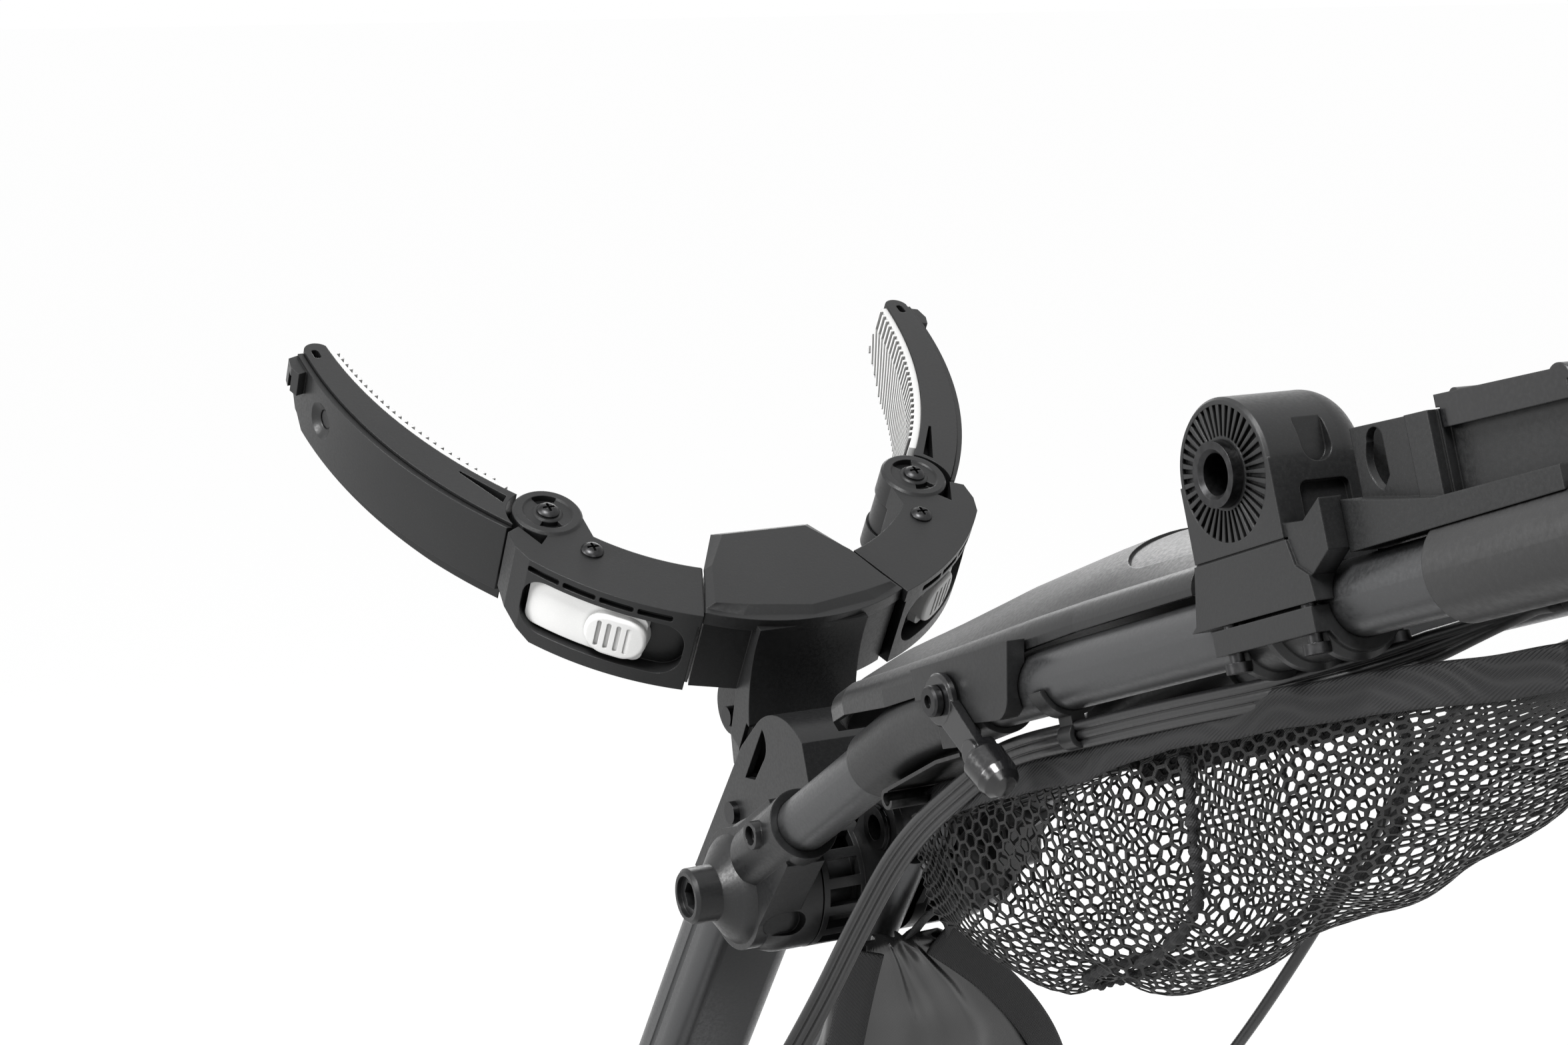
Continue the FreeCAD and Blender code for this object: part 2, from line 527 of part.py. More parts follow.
def head_casting():
    """Head that clasps the main tube and carries the two folding drums and the stay's ears."""
    hub, eye = V(*HUB_IN_SPINE, 0), V(*STAY_EYE, 0)
    plates = side_prism([(12, 72), (8.6, 165), (2.8, 188), (-14, 209, -34.8, 214), around(hub, 31, 75),
                         around(hub, 31.5, 180) + around(hub, 31.5, 262), (-36, 112), (-26, 72)],
                        -PLATE_OUT, PLATE_OUT)
    slot = side_prism([(-18.15 - FIT, 50), (40, 50), (40, 240), (12, 240), (-5, 204), (-5, 140.3),
                       (-18.15 - FIT, 140.3)], -PLATE_IN, PLATE_IN)
    drum = rod((-size("drum_half"), *HUB_IN_SPINE), (size("drum_half"), *HUB_IN_SPINE), size("drum_radius"))
    ears = side_prism([around(eye, 16.5, 20), around(eye, 16.5, 110) + around(eye, 16.5, 200),
                       around(hub, 31.5, 172), around(hub, 31.5, 95)], -16, 16)
    solid = fused(plates, drum, ears).cut(slot)
    cuts = [side_prism([(-57, 60), (-57, 145), (-59.8, 162.5), (-57, 180), (-62, 199), (-62, 260), (-130, 260),
                        (-130, 60)], -12, 12)]
    for side in (-1, 1):
        ring = [rod((side * 16, *HUB_IN_SPINE), (side * 40, *HUB_IN_SPINE), radius) for radius in (27, 19.5)]
        cuts.append(ring[0].cut(ring[1]))
        for step in range(9):
            window = box((-8, 24, -4.2), (8, 40, 4.2))
            window.rotate(V(0, 0, 0), X_AXIS, 100 + 24 * step)
            window.translate(V(side * 26.5, *HUB_IN_SPINE))
            cuts.append(window)
    window = side_prism([(-2.5, 189), (-9, 186, -12, 176), (-11, 162), (-2.9, 155)], -40, 40)
    bores = [rod((-50, *HUB_IN_SPINE), (50, *HUB_IN_SPINE), size("hinge_pin") + 0.05),
             rod((-50, *STAY_EYE), (50, *STAY_EYE), 10.05)]
    bores += [rod((-50, y, z), (50, y, z), 3.3) for y, z in ((-4.4, 131.0), (-2.5, 94.0))]
    barrel = rod((-14, *HUB_IN_SPINE), (14, *HUB_IN_SPINE), 12.4)
    solid = solid.cut(cuts).fuse(barrel.cut(bores[0])).removeSplitter()
    return solid.cut([window] + bores)


def stay_tube():
    """Brace behind the main tube, with an eye on top for its pin."""
    across, half = size("stay_eye_across"), size("stay_length") / 2.0
    tube = cylinder("stay_outside", "Sizes.stay_radius", "Sizes.stay_length", (0, STAY_AXIS, 206 - half), Z_AXIS, SPINE)
    eye = cylinder("stay_eye", "Sizes.stay_eye", "Sizes.stay_eye_across", (0, *STAY_EYE), X_AXIS, SPINE)
    hollow = cylinder("stay_hollow", "Sizes.stay_radius - 1.5", "Sizes.stay_length - 15", (0, STAY_AXIS, 197.5 - half),
                      Z_AXIS, SPINE)
    bore = cylinder("stay_bore", "Sizes.stay_bore", "Sizes.stay_eye_across + 16", (0, *STAY_EYE), X_AXIS, SPINE)
    blank = joined("MultiFuse", "stay_blank", [tube, eye])
    return keep("stay_tube", joined("Cut", "stay_tube", (blank, joined("MultiFuse", "stay_hollows", [hollow, bore]))))


def circlip(x, radius):
    """Open spring ring round a pin that lies along X."""
    ring = Part.makeCylinder(radius + 1.6, 1.1, V(x, 0, 0), X_AXIS).cut(
        Part.makeCylinder(radius, 1.1, V(x, 0, 0), X_AXIS))
    return ring.cut(box((x - 2, -2.5, 0), (x + 2, 2.5, radius + 3)))


def stay_pin():
    """Pin of the stay's eye with a circlip at each end."""
    pin = rod((-18.6, 0, 0), (18.6, 0, 0), 10.0)
    grooves = [Part.makeCylinder(11, 1.2, V(x, 0, 0), X_AXIS).cut(Part.makeCylinder(9.2, 1.2, V(x, 0, 0), X_AXIS))
               for x in (-17.35, 16.15)]
    hollow = rod((-20, 0, 0), (20, 0, 0), 6.0)
    whole = group(pin.cut(grooves + [hollow]), circlip(-17.3, 9.25), circlip(16.2, 9.25))
    whole.translate(V(0, *STAY_EYE))
    return whole


def leg_yoke():
    """Casting low on the main tube: clamps tube and stay, and carries the pivots of both legs."""
    y, z = YOKE_PIVOT
    clasp = side_prism([(22, -242), (26, -238), (26, -176), (18, -168), (-24, -168), (-60, -180), (-108, -194),
                        (-112, -210, -108, -226), (-60, -236), (-24, -242)], -34.5, 34.5)
    slim = [side_prism([(-76, -260), (-120, -260), (-120, -150), (-76, -150)], side * 28 - 10.5, side * 28 + 10.5)
            for side in (-1, 1)]
    cross = rod((-62, y, z), (62, y, z), 19.0)
    glands = [rod((side * 52, -44, z + 6), (side * 52, -44, z + 36), 6.5) for side in (-1, 1)]
    holes = [spine_blank(FIT, -250, -160), rod((0, STAY_AXIS, -233), (0, STAY_AXIS, -160), size("stay_radius") + FIT),
             rod((-70, y, z), (70, y, z), 8.1)]
    return fused(clasp.cut(slim), cross, *glands).cut(holes)


def lower_cradle():
    """Fixed lower cradle: a clamp on the tube, two curved arms and the ledge the bag stands on."""
    centre, inner = V(0, 98, 0), size("ring_bore")

    def at(radius, angle):
        turn = math.radians(angle)
        return (radius * math.sin(turn), centre.y - radius * math.cos(turn))

    arms = prism([at(129, -62), at(131, 0) + at(129, 62), at(131, 66) + at(inner + 3, 66), at(inner, 62),
                  at(inner, 0) + at(inner, -62), at(inner + 3, -66)], -25, 12)
    ledge = prism([at(128, -40), at(128, 0) + at(128, 40), (38, 52), (0, 58, -38, 52)], -25, -19)
    lighten = [prism([at(112, 20 * side), at(112, 27 * side) + at(112, 34 * side), at(74, 30 * side),
                      at(74, 14 * side)], -30, -15) for side in (-1, 1)]
    block = prism([(-35, -66), (35, -66), (35, -16), (-35, -16)], -25, 24)
    return fused(arms, ledge, block).cut(lighten)


def lower_pads():
    """Two rubber strips on the lower arms."""
    centre, inner = V(0, 98, 0), size("ring_bore")
    strips = []
    for side in (-1, 1):
        corners = []
        for radius, order in ((inner, (26, 43, 60)), (inner - 3.2, (60, 43, 26))):
            for angle in order:
                turn = math.radians(angle * side)
                corners.append((radius * math.sin(turn), centre.y - radius * math.cos(turn)))
        strips.append(prism([corners[0], corners[1] + corners[2], corners[3], corners[4] + corners[5]], -15, 8))
    return group(*strips)


def front_fork():
    """One-piece fork: a socket on the tube's end and two arms down to the front axle."""
    axle = V(*FORK_AXLE, 0)
    blank = side_prism([(25, -386), (27, -425), around(axle, 18, 35), around(axle, 18, -60) + around(axle, 18, 205),
                        (-25, -452), (-25, -386)], -37, 37)
    wheel_room = rod((-28.5, *FORK_AXLE), (28.5, *FORK_AXLE), size("front_tyre") + 7)
    socket = spine_blank(FIT, size("spine_bottom"), -380)
    bore = rod((-60, *FORK_AXLE), (60, *FORK_AXLE), size("axle_radius") + 0.05)
    cheeks = [side_prism([(20, -450), (62, -556), (46, -560), (-10, -462)], side * 38 - 4, side * 38 + 4)
              for side in (-1, 1)]
    flats = [prism([(31 * side, -60), (60 * side, -60), (60 * side, 60), (37 * side, 60)], -388, -380)
             for side in (-1, 1)]
    return blank.cut([wheel_room, socket, bore] + cheeks + flats)


def axle_bolt(half, head=10.0):
    """Axle along X with a round head at one end and a nut at the other."""
    shaft = rod((-half, 0, 0), (half, 0, 0), size("axle_radius"))
    nut = side_prism([around(V(0, 0, 0), 11, 60 * corner) for corner in range(6)], half, half + 6)
    cap = rod((-half - 5, 0, 0), (-half, 0, 0), head)
    return fused(shaft, cap, nut)


POUCH_STATIONS = [(-130, -38, 96, -158, -114), (-40, -42, 118, -172, -112), (28, -40, 126, -168, -112),
                  (92, -37, 90, -152, -111), (133, -33, 50, -138, -111), (168, -27, 16, -126, -111)]


def pouch():
    """Soft pouch that hangs from the stay, gathered at its top and fuller below."""
    rings = []
    for height, left, right, back, front in POUCH_STATIONS:
        wire = Part.Wire([curve.toShape() for curve in outline_geometry(rounded_rect(right - left, front - back, 7))])
        wire.translate(V((left + right) / 2.0, (front + back) / 2.0, height))
        rings.append(wire)
    return Part.makeLoft(rings, True, False)


main_tube()
shaped("head_casting", head_casting(), SPINE)
stay_tube()
shaped("stay_pin", stay_pin(), SPINE)
shaped("leg_yoke", leg_yoke(), SPINE)
tube_in_lower = spine_blank(FIT, -500, 0)
tube_in_lower.Placement = LOWER.inverse().multiply(SPINE)
shaped("lower_cradle", lower_cradle().cut(tube_in_lower), LOWER)
shaped("lower_cradle_pads", lower_pads(), LOWER)
shaped("front_fork", front_fork(), SPINE)
shaped("front_axle", axle_bolt(37.0), SPINE.multiply(FreeCAD.Placement(V(0, *FORK_AXLE), FreeCAD.Rotation())))
shaped("pouch", pouch(), SPINE)
keep("hub_pin", cylinder("hub_pin", "Sizes.hinge_pin", "Sizes.hinge_pin_length", (0, 0, 0), X_AXIS, HUB))
bolts = []
for y, z in ((-4.4, 131.0), (-2.5, 94.0)):
    for side in (-1, 1):
        shank = rod((side * 20, y, z), (side * PLATE_OUT, y, z), 3.2)
        bolts.append(fused(shank, rod((side * PLATE_OUT, y, z), (side * (PLATE_OUT + 3.2), y, z), 5.6)))
shaped("head_screws", group(*bolts), SPINE)

# ---------------------------------------------------------------- handle

HALF_GAP = size("tube_half_gap")
TUBE = size("tube_radius")
TUBE_END = 440.0
BOW = size("handle_reach")
STRUT_PATH = [(HALF_GAP, 112.1, -40.6), (HALF_GAP, -45, -4.8), (HALF_GAP, -115, 0)]
STRUT_BENDS = [110.0, 300.0]
SLEEVE_PATH = [(HALF_GAP, -3, -14.4), (HALF_GAP, -45, -4.8), (HALF_GAP, -112, -0.2)]
SLEEVE_RADIUS = 15.2
PIVOT_S, PIVOT_T = 100.0, 2.0


def back_prism(path, near, far):
    """Outline given as (across, up), spread from one distance behind the elbow to another."""
    solid = prism(path, near, far)
    solid.Placement = FreeCAD.Placement(V(0, 0, 0), FreeCAD.Rotation(X_AXIS, 90))
    return solid


def side_tube():
    """Right side tube: strut, elbow and long straight run, all one bent tube."""
    path = STRUT_PATH + [(HALF_GAP, -TUBE_END, 0)]
    return pipe(path, TUBE, STRUT_BENDS).cut(pipe(path, TUBE - size("tube_wall"), STRUT_BENDS))


def elbow_sleeve(radius=SLEEVE_RADIUS, bore=TUBE + 0.06):
    """Right moulded sleeve over the elbow of the side tube."""
    sleeve = pipe(SLEEVE_PATH, radius, [110.0])
    return sleeve.cut(pipe(STRUT_PATH + [(HALF_GAP, -160, 0)], bore, STRUT_BENDS)) if bore else sleeve


def side_socket():
    """Right folding socket: domed boss on the hub and the smooth sleeve that holds the strut."""
    hub = V(0, 0, 0)
    start, end = V(-14.0, 18.7, 0), V(-53.5, 45.9, 0)
    drum = turned([(0, 38.2), (31.8, 38.2), (31.8, 50), (31.2, 56, 28.5, 62), (26.5, 68, 21, 74), (16.5, 77.5),
                   (13.2, 80), (13.0, 91.5), (11.5, 93), (0, 93)], (0, 0, 0), (1, 0, 0))
    sleeve = rod((HALF_GAP, start.x, start.y), (HALF_GAP, end.x, end.y), 16.4)
    web = side_prism([around(start, 16.0, 55.4), around(hub, 28.5, 64), around(hub, 28.5, 20) + around(hub, 28.5, -50),
                      around(hub, 28.5, -110) + around(hub, 28.5, 200), around(end - (end - start) * 0.2, 16.0, 235.4),
                      around(end - (end - start) * 0.2, 16.0, 55.4)], 50, 69)
    boss = rod((HALF_GAP, -38.6, 38.7), (79.5, -38.6, 38.7), 6.4)
    screw_hole = rod((76, -38.6, 38.7), (80, -38.6, 38.7), 4.4)
    hexagon = side_prism([around(hub, 6.6, 60 * corner) for corner in range(6)], 86, 94)
    cup = rod((90.5, 0, 0), (94, 0, 0), 9.6)
    bore = rod((30, 0, 0), (84, 0, 0), size("hinge_pin") + 0.05)
    recess = [rod((x, -40, -10), (x, -24, -10), 6.4) for x in (53, 60)]
    recess.append(box((53, -40, -16.4), (60, -24, -3.6)))
    return fused(drum, sleeve, web, boss).cut([hexagon, cup, bore, screw_hole] + recess)


def hood_section(s, half, crease, edge, shoulder_up, crown):
    """Arched cross-section of the hood at a distance behind the elbow."""
    path = [(half, edge), (half, shoulder_up - 8), (half - 3.5, shoulder_up - 2, crease, shoulder_up),
            (0, crown, -crease, shoulder_up), (-half + 3.5, shoulder_up - 2, -half, shoulder_up - 8),
            (-half, edge)]
    wire = Part.Wire([curve.toShape() for curve in outline_geometry(path)])
    wire.rotate(V(0, 0, 0), X_AXIS, 90)
    wire.translate(V(0, -s, 0))
    return wire


HOOD_STATIONS = [(-98, 24, 15, 7, 18, 25), (-40, 56, 46, 8, 21, 33), (-2, 70, 57, 8, 21, 37),
                 (40, 73, 60, 6, 21, 40), (93, 73, 60, 7, 22, 45), (150, 69, 57, 13, 24.5, 48),
                 (180, 66, 55, 14.5, 25.5, 49), (258, 66, 55, 15, 25.5, 44)]
BRACKET = [(-75, 17), (-75, 4.5), (-88, 4), (-89, -7), (-90, -16.5), (-107, -17.5), (-109, -9), (-134, -11),
           (-141, -9, -145, -3), (-152, 17)]


def hood():
    """Moulded cover between the side tubes, arched across, open below, with a bracket at each elbow."""
    wall = 3.0
    outer = Part.makeLoft([hood_section(*station) for station in HOOD_STATIONS], True, True)
    inner = []
    for index, (s, half, crease, edge, up, crown) in enumerate(HOOD_STATIONS):
        reach = s + (wall if index == 0 else -wall if index == len(HOOD_STATIONS) - 1 else 0)
        inner.append(hood_section(reach, half - wall, crease - wall * 0.6, edge - 20, up - wall, crown - wall))
    shell = outer.cut(Part.makeLoft(inner, True, True))
    panel = prism(rounded_rect(92, 130, 30), 20, 60)
    panel.translate(V(0, -238, 0))
    skin = Part.makeLoft([hood_section(s, half, crease, edge, up - 1.3, crown - 1.3)
                          for s, half, crease, edge, up, crown in HOOD_STATIONS], True, True)
    brackets = [side_prism(BRACKET, min(side * 70, side * 77.8), max(side * 70, side * 77.8)) for side in (-1, 1)]
    shell = fused(shell.cut(panel.cut(skin)), *brackets)
    rear_gap = box((-47, -262, -10), (47, -250, 22))
    rooms = [elbow_sleeve(SLEEVE_RADIUS + 0.25, 0), pipe(STRUT_PATH + [(HALF_GAP, -300, 0)], TUBE + 0.4, STRUT_BENDS)]
    rooms += [mirrored(room) for room in rooms]
    seats = [rod((side * 60, -PIVOT_S, PIVOT_T), (side * 90, -PIVOT_S, PIVOT_T), 4.1) for side in (-1, 1)]
    return shell.cut([rear_gap] + rooms + seats)


def mount_blocks():
    """Accessory mount on the left tube: the upper clamp with its head, and the lower clamp half."""
    face, radius = size("mount_face"), size("rosette_radius")
    middle, disc_up, seam = 308.0, 48.5, 22.5
    head = turned([(0, 0), (radius - 1, 0), (radius, 1), (radius, 30), (radius - 3.5, 40, radius - 12, 44), (0, 44)],
                  (-face, -middle, disc_up), (1, 0, 0))
    neck = box((-face, -middle - radius, seam), (-42, -middle + radius, disc_up))
    groove = [box((-face - 1, -middle - radius - 1, seam - 0.7), (-face + 0.9, -middle + radius + 1, seam)),
              box((-face - 1, -middle - radius - 1, seam - 0.7), (-30, -middle - radius + 0.9, seam))]
    block = side_prism([(-274, 0.6), (-277, 2.6), (-282.5, seam), (-333.5, seam), (-336, 13), (-342, 9), (-343, 0.6)],
                       -face, -41)
    gusset = side_prism([(-333, 5), (-333, 27), (-343, 26), (-352.8, 31.5), (-352.8, 15), (-343, 9)], -79, -70)
    recess = turned([(12.2, -1), (22.6, -1), (22.6, 1.6), (12.2, 1.6)], (-face, -middle, disc_up), (1, 0, 0))
    teeth = []
    for index in range(40):
        tooth = side_prism([(12.0, -0.4), (22.7, -0.85), (22.7, 0.85), (12.0, 0.4)], 0.1, 2.0)
        tooth.rotate(V(0, 0, 0), X_AXIS, 9 * index)
        tooth.translate(V(-face, -middle, disc_up))
        teeth.append(tooth)
    pockets = [back_prism(stadium(-66, -54, 46, 64, 5.5), middle + radius - 3.5, middle + radius + 3),
               back_prism(stadium(-70, -50, 26, 40, 3), middle + radius - 2.5, middle + radius + 3)]
    seat = rod((-face - 6, -middle, disc_up), (-face + size("insert_length") - 4, -middle, disc_up),
               size("insert_ring") + 0.05)
    tube = rod((-HALF_GAP, 0, 0), (-HALF_GAP, -500, 0), TUBE + FIT)
    screws = [rod((x, -y, -20), (x, -y, 15), 2.6) for x in (-76.2, -44.2) for y in (291, 334)]
    upper = fused(block, neck, gusset, head).cut(groove + [recess] + pockets)
    upper = fused(upper, *teeth).cut([tube, seat] + screws)
    lower = box((-face, -340, -9), (-41, -285, -0.6))
    belly = rod((-HALF_GAP, -340, 0), (-HALF_GAP, -285, 0), 17.0).common(box((-90, -340, -20), (-30, -285, -0.6)))
    ribs = [turned([(0, 0), (17.5, 0), (19.6, 2), (19.6, 5), (17.5, 7), (0, 7)], (-HALF_GAP, -y, 0), (0, -1, 0)).common(
        box((-90, -345, -21), (-30, -280, -0.6))) for y in (287, 308, 331)]
    lower = fused(lower, belly, *ribs).cut([tube] + screws)
    lower = lower.cut([rod((x, -y, -22), (x, -y, -9), 4.5) for x in (-76.2, -44.2) for y in (291, 334)])
    return upper, lower, middle, disc_up


def threaded_insert(middle, disc_up):
    """Metal insert in the mount's head; its hole takes the thread."""
    face, length = size("mount_face"), size("insert_length")
    ring = turned([(size("insert_thread"), 0), (size("insert_ring"), 0), (size("insert_ring"), length),
                   (size("insert_thread"), length)], (-face - 4.2, -middle, disc_up), (1, 0, 0))
    return ring.cut(turned([(0, -1), (8.4, -1), (8.4, 0), (size("insert_thread"), 1.4), (0, 1.4)],
                           (-face - 4.2, -middle, disc_up), (1, 0, 0)))


TRAY_FRONT, TRAY_SPLIT, TRAY_BACK = 353.0, 396.0, 452.0
TRAY_FLOOR, TRAY_HIGH, TRAY_LOW, TRAY_HALF = 13.2, 52.0, 44.0, 62.0
GRIP_FRONT, GRIP_RADIUS = 391.5, 16.6


def console_tray():
    """Open box over the tubes: a post with a slot, a partition, and a ledge along each side."""
    wall, floor = 3.0, 5.0
    block = side_prism([(-TRAY_FRONT, TRAY_FLOOR), (-TRAY_FRONT, TRAY_HIGH), (-TRAY_BACK, TRAY_LOW),
                        (-TRAY_BACK, TRAY_FLOOR)], -TRAY_HALF, TRAY_HALF)
    rooms = [box((-TRAY_HALF + wall, -TRAY_SPLIT + wall / 2, TRAY_FLOOR + floor),
                 (TRAY_HALF - wall, -TRAY_FRONT - wall, 80)),
             box((-TRAY_HALF + 2 * wall, -TRAY_BACK + wall, TRAY_FLOOR + floor),
                 (TRAY_HALF - 2 * wall, -TRAY_SPLIT - wall / 2, 80))]
    cheeks = [box((min(side * 58.5, side * 70), -TRAY_BACK - 1, TRAY_FLOOR + 7.5),
                  (max(side * 58.5, side * 70), -TRAY_SPLIT, 80)) for side in (-1, 1)]
    ledges = [side_prism([(-TRAY_FRONT, TRAY_FLOOR), (-TRAY_FRONT, 30), (-TRAY_FRONT - 20, 26), (-TRAY_SPLIT, 22),
                          (-TRAY_BACK, 20.5), (-TRAY_BACK, TRAY_FLOOR)], min(side * 60, side * 71),
                         max(side * 60, side * 71)) for side in (-1, 1)]
    posts = [side_prism([(-384, 24), (-384, 49.4), (-395, 48.6), (-395, 22)], min(side * 60, side * 65.5),
                        max(side * 60, side * 65.5)) for side in (-1, 1)]
    slots = [side_prism([(-364, 30), (-360, 34, -360, 46), (-364, 50, -368, 46), (-368, 34)],
                        min(side * 57, side * 66), max(side * 57, side * 66)) for side in (-1, 1)]
    saddle = box((-52, -434, -4), (52, -370, TRAY_FLOOR + 1))
    tubes = [rod((side * HALF_GAP, 0, 0), (side * HALF_GAP, -500, 0), TUBE + FIT) for side in (-1, 1)]
    grips = [rod((side * HALF_GAP, -GRIP_FRONT + 0.3, 0), (side * HALF_GAP, -500, 0), GRIP_RADIUS + FIT)
             for side in (-1, 1)]
    return fused(block.cut(cheeks), saddle, *ledges, *posts).cut(rooms + slots + tubes + grips)


def console_lid():
    """Lid over the rear room, hinged along its front edge, with a skirt down each side."""
    slope = (TRAY_HIGH - TRAY_LOW) / (TRAY_BACK - TRAY_FRONT)
    front = TRAY_LOW + slope * (TRAY_BACK - TRAY_SPLIT)
    lid = side_prism([(-TRAY_SPLIT + 1, front + 0.5), (-TRAY_SPLIT + 1, front + 4.5), (-TRAY_BACK + 6, TRAY_LOW + 4.6),
                      (-TRAY_BACK - 1.5, TRAY_LOW + 3, -TRAY_BACK - 2, TRAY_LOW + 0.4)], -TRAY_HALF, TRAY_HALF)
    skirts = [side_prism([(-TRAY_SPLIT - 0.8, front - 6), (-TRAY_SPLIT - 0.8, front + 2), (-TRAY_BACK, TRAY_LOW + 2),
                          (-TRAY_BACK, TRAY_LOW - 5)], min(side * 58.8, side * TRAY_HALF),
                         max(side * 58.8, side * TRAY_HALF)) for side in (-1, 1)]
    lip = box((-20, -TRAY_BACK - 5, TRAY_LOW - 3), (20, -TRAY_BACK - 0.8, TRAY_LOW + 2.4))
    barrel = rod((-54, -TRAY_SPLIT + 1, front + 3.6), (54, -TRAY_SPLIT + 1, front + 3.6), 2.6)
    return fused(lid, *skirts, lip, barrel)


def handle_bow():
    """Rear bow of the handle, on spigots in the side tubes."""
    path = [(HALF_GAP, -TUBE_END - 0.4, 0), (HALF_GAP, -BOW, 0), (-HALF_GAP, -BOW, 0), (-HALF_GAP, -TUBE_END - 0.4, 0)]
    bow = pipe(path, TUBE, [46.0, 46.0])
    spigots = [rod((side * HALF_GAP, -TUBE_END - 1, 0), (side * HALF_GAP, -TUBE_END + 34, 0), TUBE - 1.75)
               for side in (-1, 1)]
    return fused(bow, *spigots)


def handle_grip():
    """Foam sleeve round the bow."""
    path = [(HALF_GAP, -GRIP_FRONT, 0), (HALF_GAP, -BOW, 0), (-HALF_GAP, -BOW, 0), (-HALF_GAP, -GRIP_FRONT, 0)]
    return pipe(path, GRIP_RADIUS, [46.0, 46.0]).cut(pipe(path, TUBE + 0.1, [46.0, 46.0]))


def brake_bracket():
    """Block under the console that carries the brake lever and the two cable ends."""
    block = side_prism([(-400, -4.2), (-400, -20), (-430, -24), (-448, -20), (-448, -4.2)], -27, 27)
    gap = box((-18, -470, -40), (18, -426, 0))
    bore = rod((-40, -438, -14), (40, -438, -14), 3.05)
    glands = [rod((side * 21, -400, -13), (side * 21, -390, -13), 4.4) for side in (-1, 1)]
    return fused(block, *glands).cut([gap, bore])


LEVER_PIN = (-438.0, -14.0)


def brake_lever():
    """Squeeze lever under the grip."""
    arm = [(-434, -12), (-446, -10), (-470, -24), (-522, -33), (-530, -37, -522, -40), (-468, -33), (-436, -20)]
    hollow = [(-456, -22), (-470, -27.5), (-512, -34.5), (-512, -60), (-456, -60)]
    steps = [("Pad", "YZ_Plane", arm, "Sizes.lever_across"), ("Pad", "YZ_Plane", hoop(LEVER_PIN, 7), "Sizes.lever_across"),
             ("Pocket", "YZ_Plane", hollow, "Sizes.lever_across - 8"),
             ("Pocket", "YZ_Plane", hoop(LEVER_PIN, size("lever_pin") + 0.05), "Sizes.lever_across + 10")]
    return layered("brake_lever", steps, HANDLE)


def lock_lever():
    """Lever on the bolt beside the left elbow: a disc, a short stem and a bullet-shaped knob under the tube."""
    pivot, root = V(-PIVOT_S, PIVOT_T, 0), V(-120, -21, 0)
    disc = turned([(0, 0), (9.6, 0), (10.6, 1), (10.6, 3.2), (9.6, 4.2), (0, 4.2)], (-82.4, -PIVOT_S, PIVOT_T), (1, 0, 0))
    stem = side_prism([around(pivot, 7, -41), around(pivot, 7, 49) + around(pivot, 7, 139), around(root, 5.5, 139),
                       around(root, 5.5, 229) + around(root, 5.5, 319)], -82.2, -78.4)
    neck = rod((-84, root.x, root.y), (-74, root.x, root.y), 5.4)
    knob = turned([(0, 0), (5.6, 0), (8.8, 4), (8.4, 14.5), (7.3, 18), (4.7, 20.3), (0, 21.2)], (-79, -119, -22),
                  (0, -0.72, -0.69))
    bore = rod((-95, pivot.x, pivot.y), (-70, pivot.x, pivot.y), 4.05)
    return disc.fuse([stem, neck, knob]).cut(bore).removeSplitter()


def net():
    """Mesh bag under the hood, an open shell that hangs from its binding on both sides."""
    stations = [(-20, 40, -42, -95), (45, 55, -33, -129), (120, 56, -31, -127), (190, 56, -31.5, -117),
                (251, 56, -32, -101), (330, 56, -35, -78), (420, 52, -40, -52)]

    def ring(s, half, top, bottom, inset):
        """Bag section: round-bottomed, flat across its open top."""
        half, low = half - inset, bottom + inset
        lift = (top - low) * 0.35
        path = [(half, top + inset), (half, top - lift), (half * 0.72, low + lift * 0.42, 0, low),
                (-half * 0.72, low + lift * 0.42, -half, top - lift), (-half, top + inset)]
        wire = Part.Wire([curve.toShape() for curve in outline_geometry(path)])
        wire.rotate(V(0, 0, 0), X_AXIS, 90)
        wire.translate(V(0, -s, 0))
        return wire

    outer = Part.makeLoft([ring(*station, 0) for station in stations], True, True)
    inner = Part.makeLoft([ring(s + (2.5 if s < 0 else -2.5 if s > 400 else 0), half, top, bottom, 2.5)
                           for s, half, top, bottom in stations], True, True)
    return outer.cut(inner)


def cable_clip():
    """Strap round the left tube with the eye that holds the cable."""
    first, last, eye = 154.0, 163.0, -22.0
    strap = rod((-HALF_GAP, -first, 0), (-HALF_GAP, -last, 0), TUBE + 2.2).common(
        box((-90, -last - 5, -30), (-30, -first + 5, -4)))
    ring = rod((-HALF_GAP, -first, eye), (-HALF_GAP, -last, eye), 5.0)
    lug = box((-HALF_GAP - 3, -last, eye + 2), (-HALF_GAP + 3, -first, eye + 10))
    return fused(strap, ring, lug).cut([rod((-HALF_GAP, 0, 0), (-HALF_GAP, -200, 0), TUBE + 0.06),
                                        rod((-HALF_GAP, 0, eye), (-HALF_GAP, -200, eye), 2.9)])


def net_rail():
    """Sheet flange under the elbows with a curled front edge that the net hangs on."""
    plate = side_prism([(-26, -26.2), (-72, -19.6), (-92, -19.0), (-92, -20.6), (-72, -21.2), (-26, -27.8)], -72, 72)
    curl = rod((-72, -26, -30.6), (72, -26, -30.6), 4.4).cut(
        [rod((-73, -26, -30.6), (73, -26, -30.6), 2.8), box((-73, -40, -31.5), (73, -26, -20))])
    strip = box((-72, -28, -27.9), (72, -25, -26.3))
    return fused(plate, curl, strip)


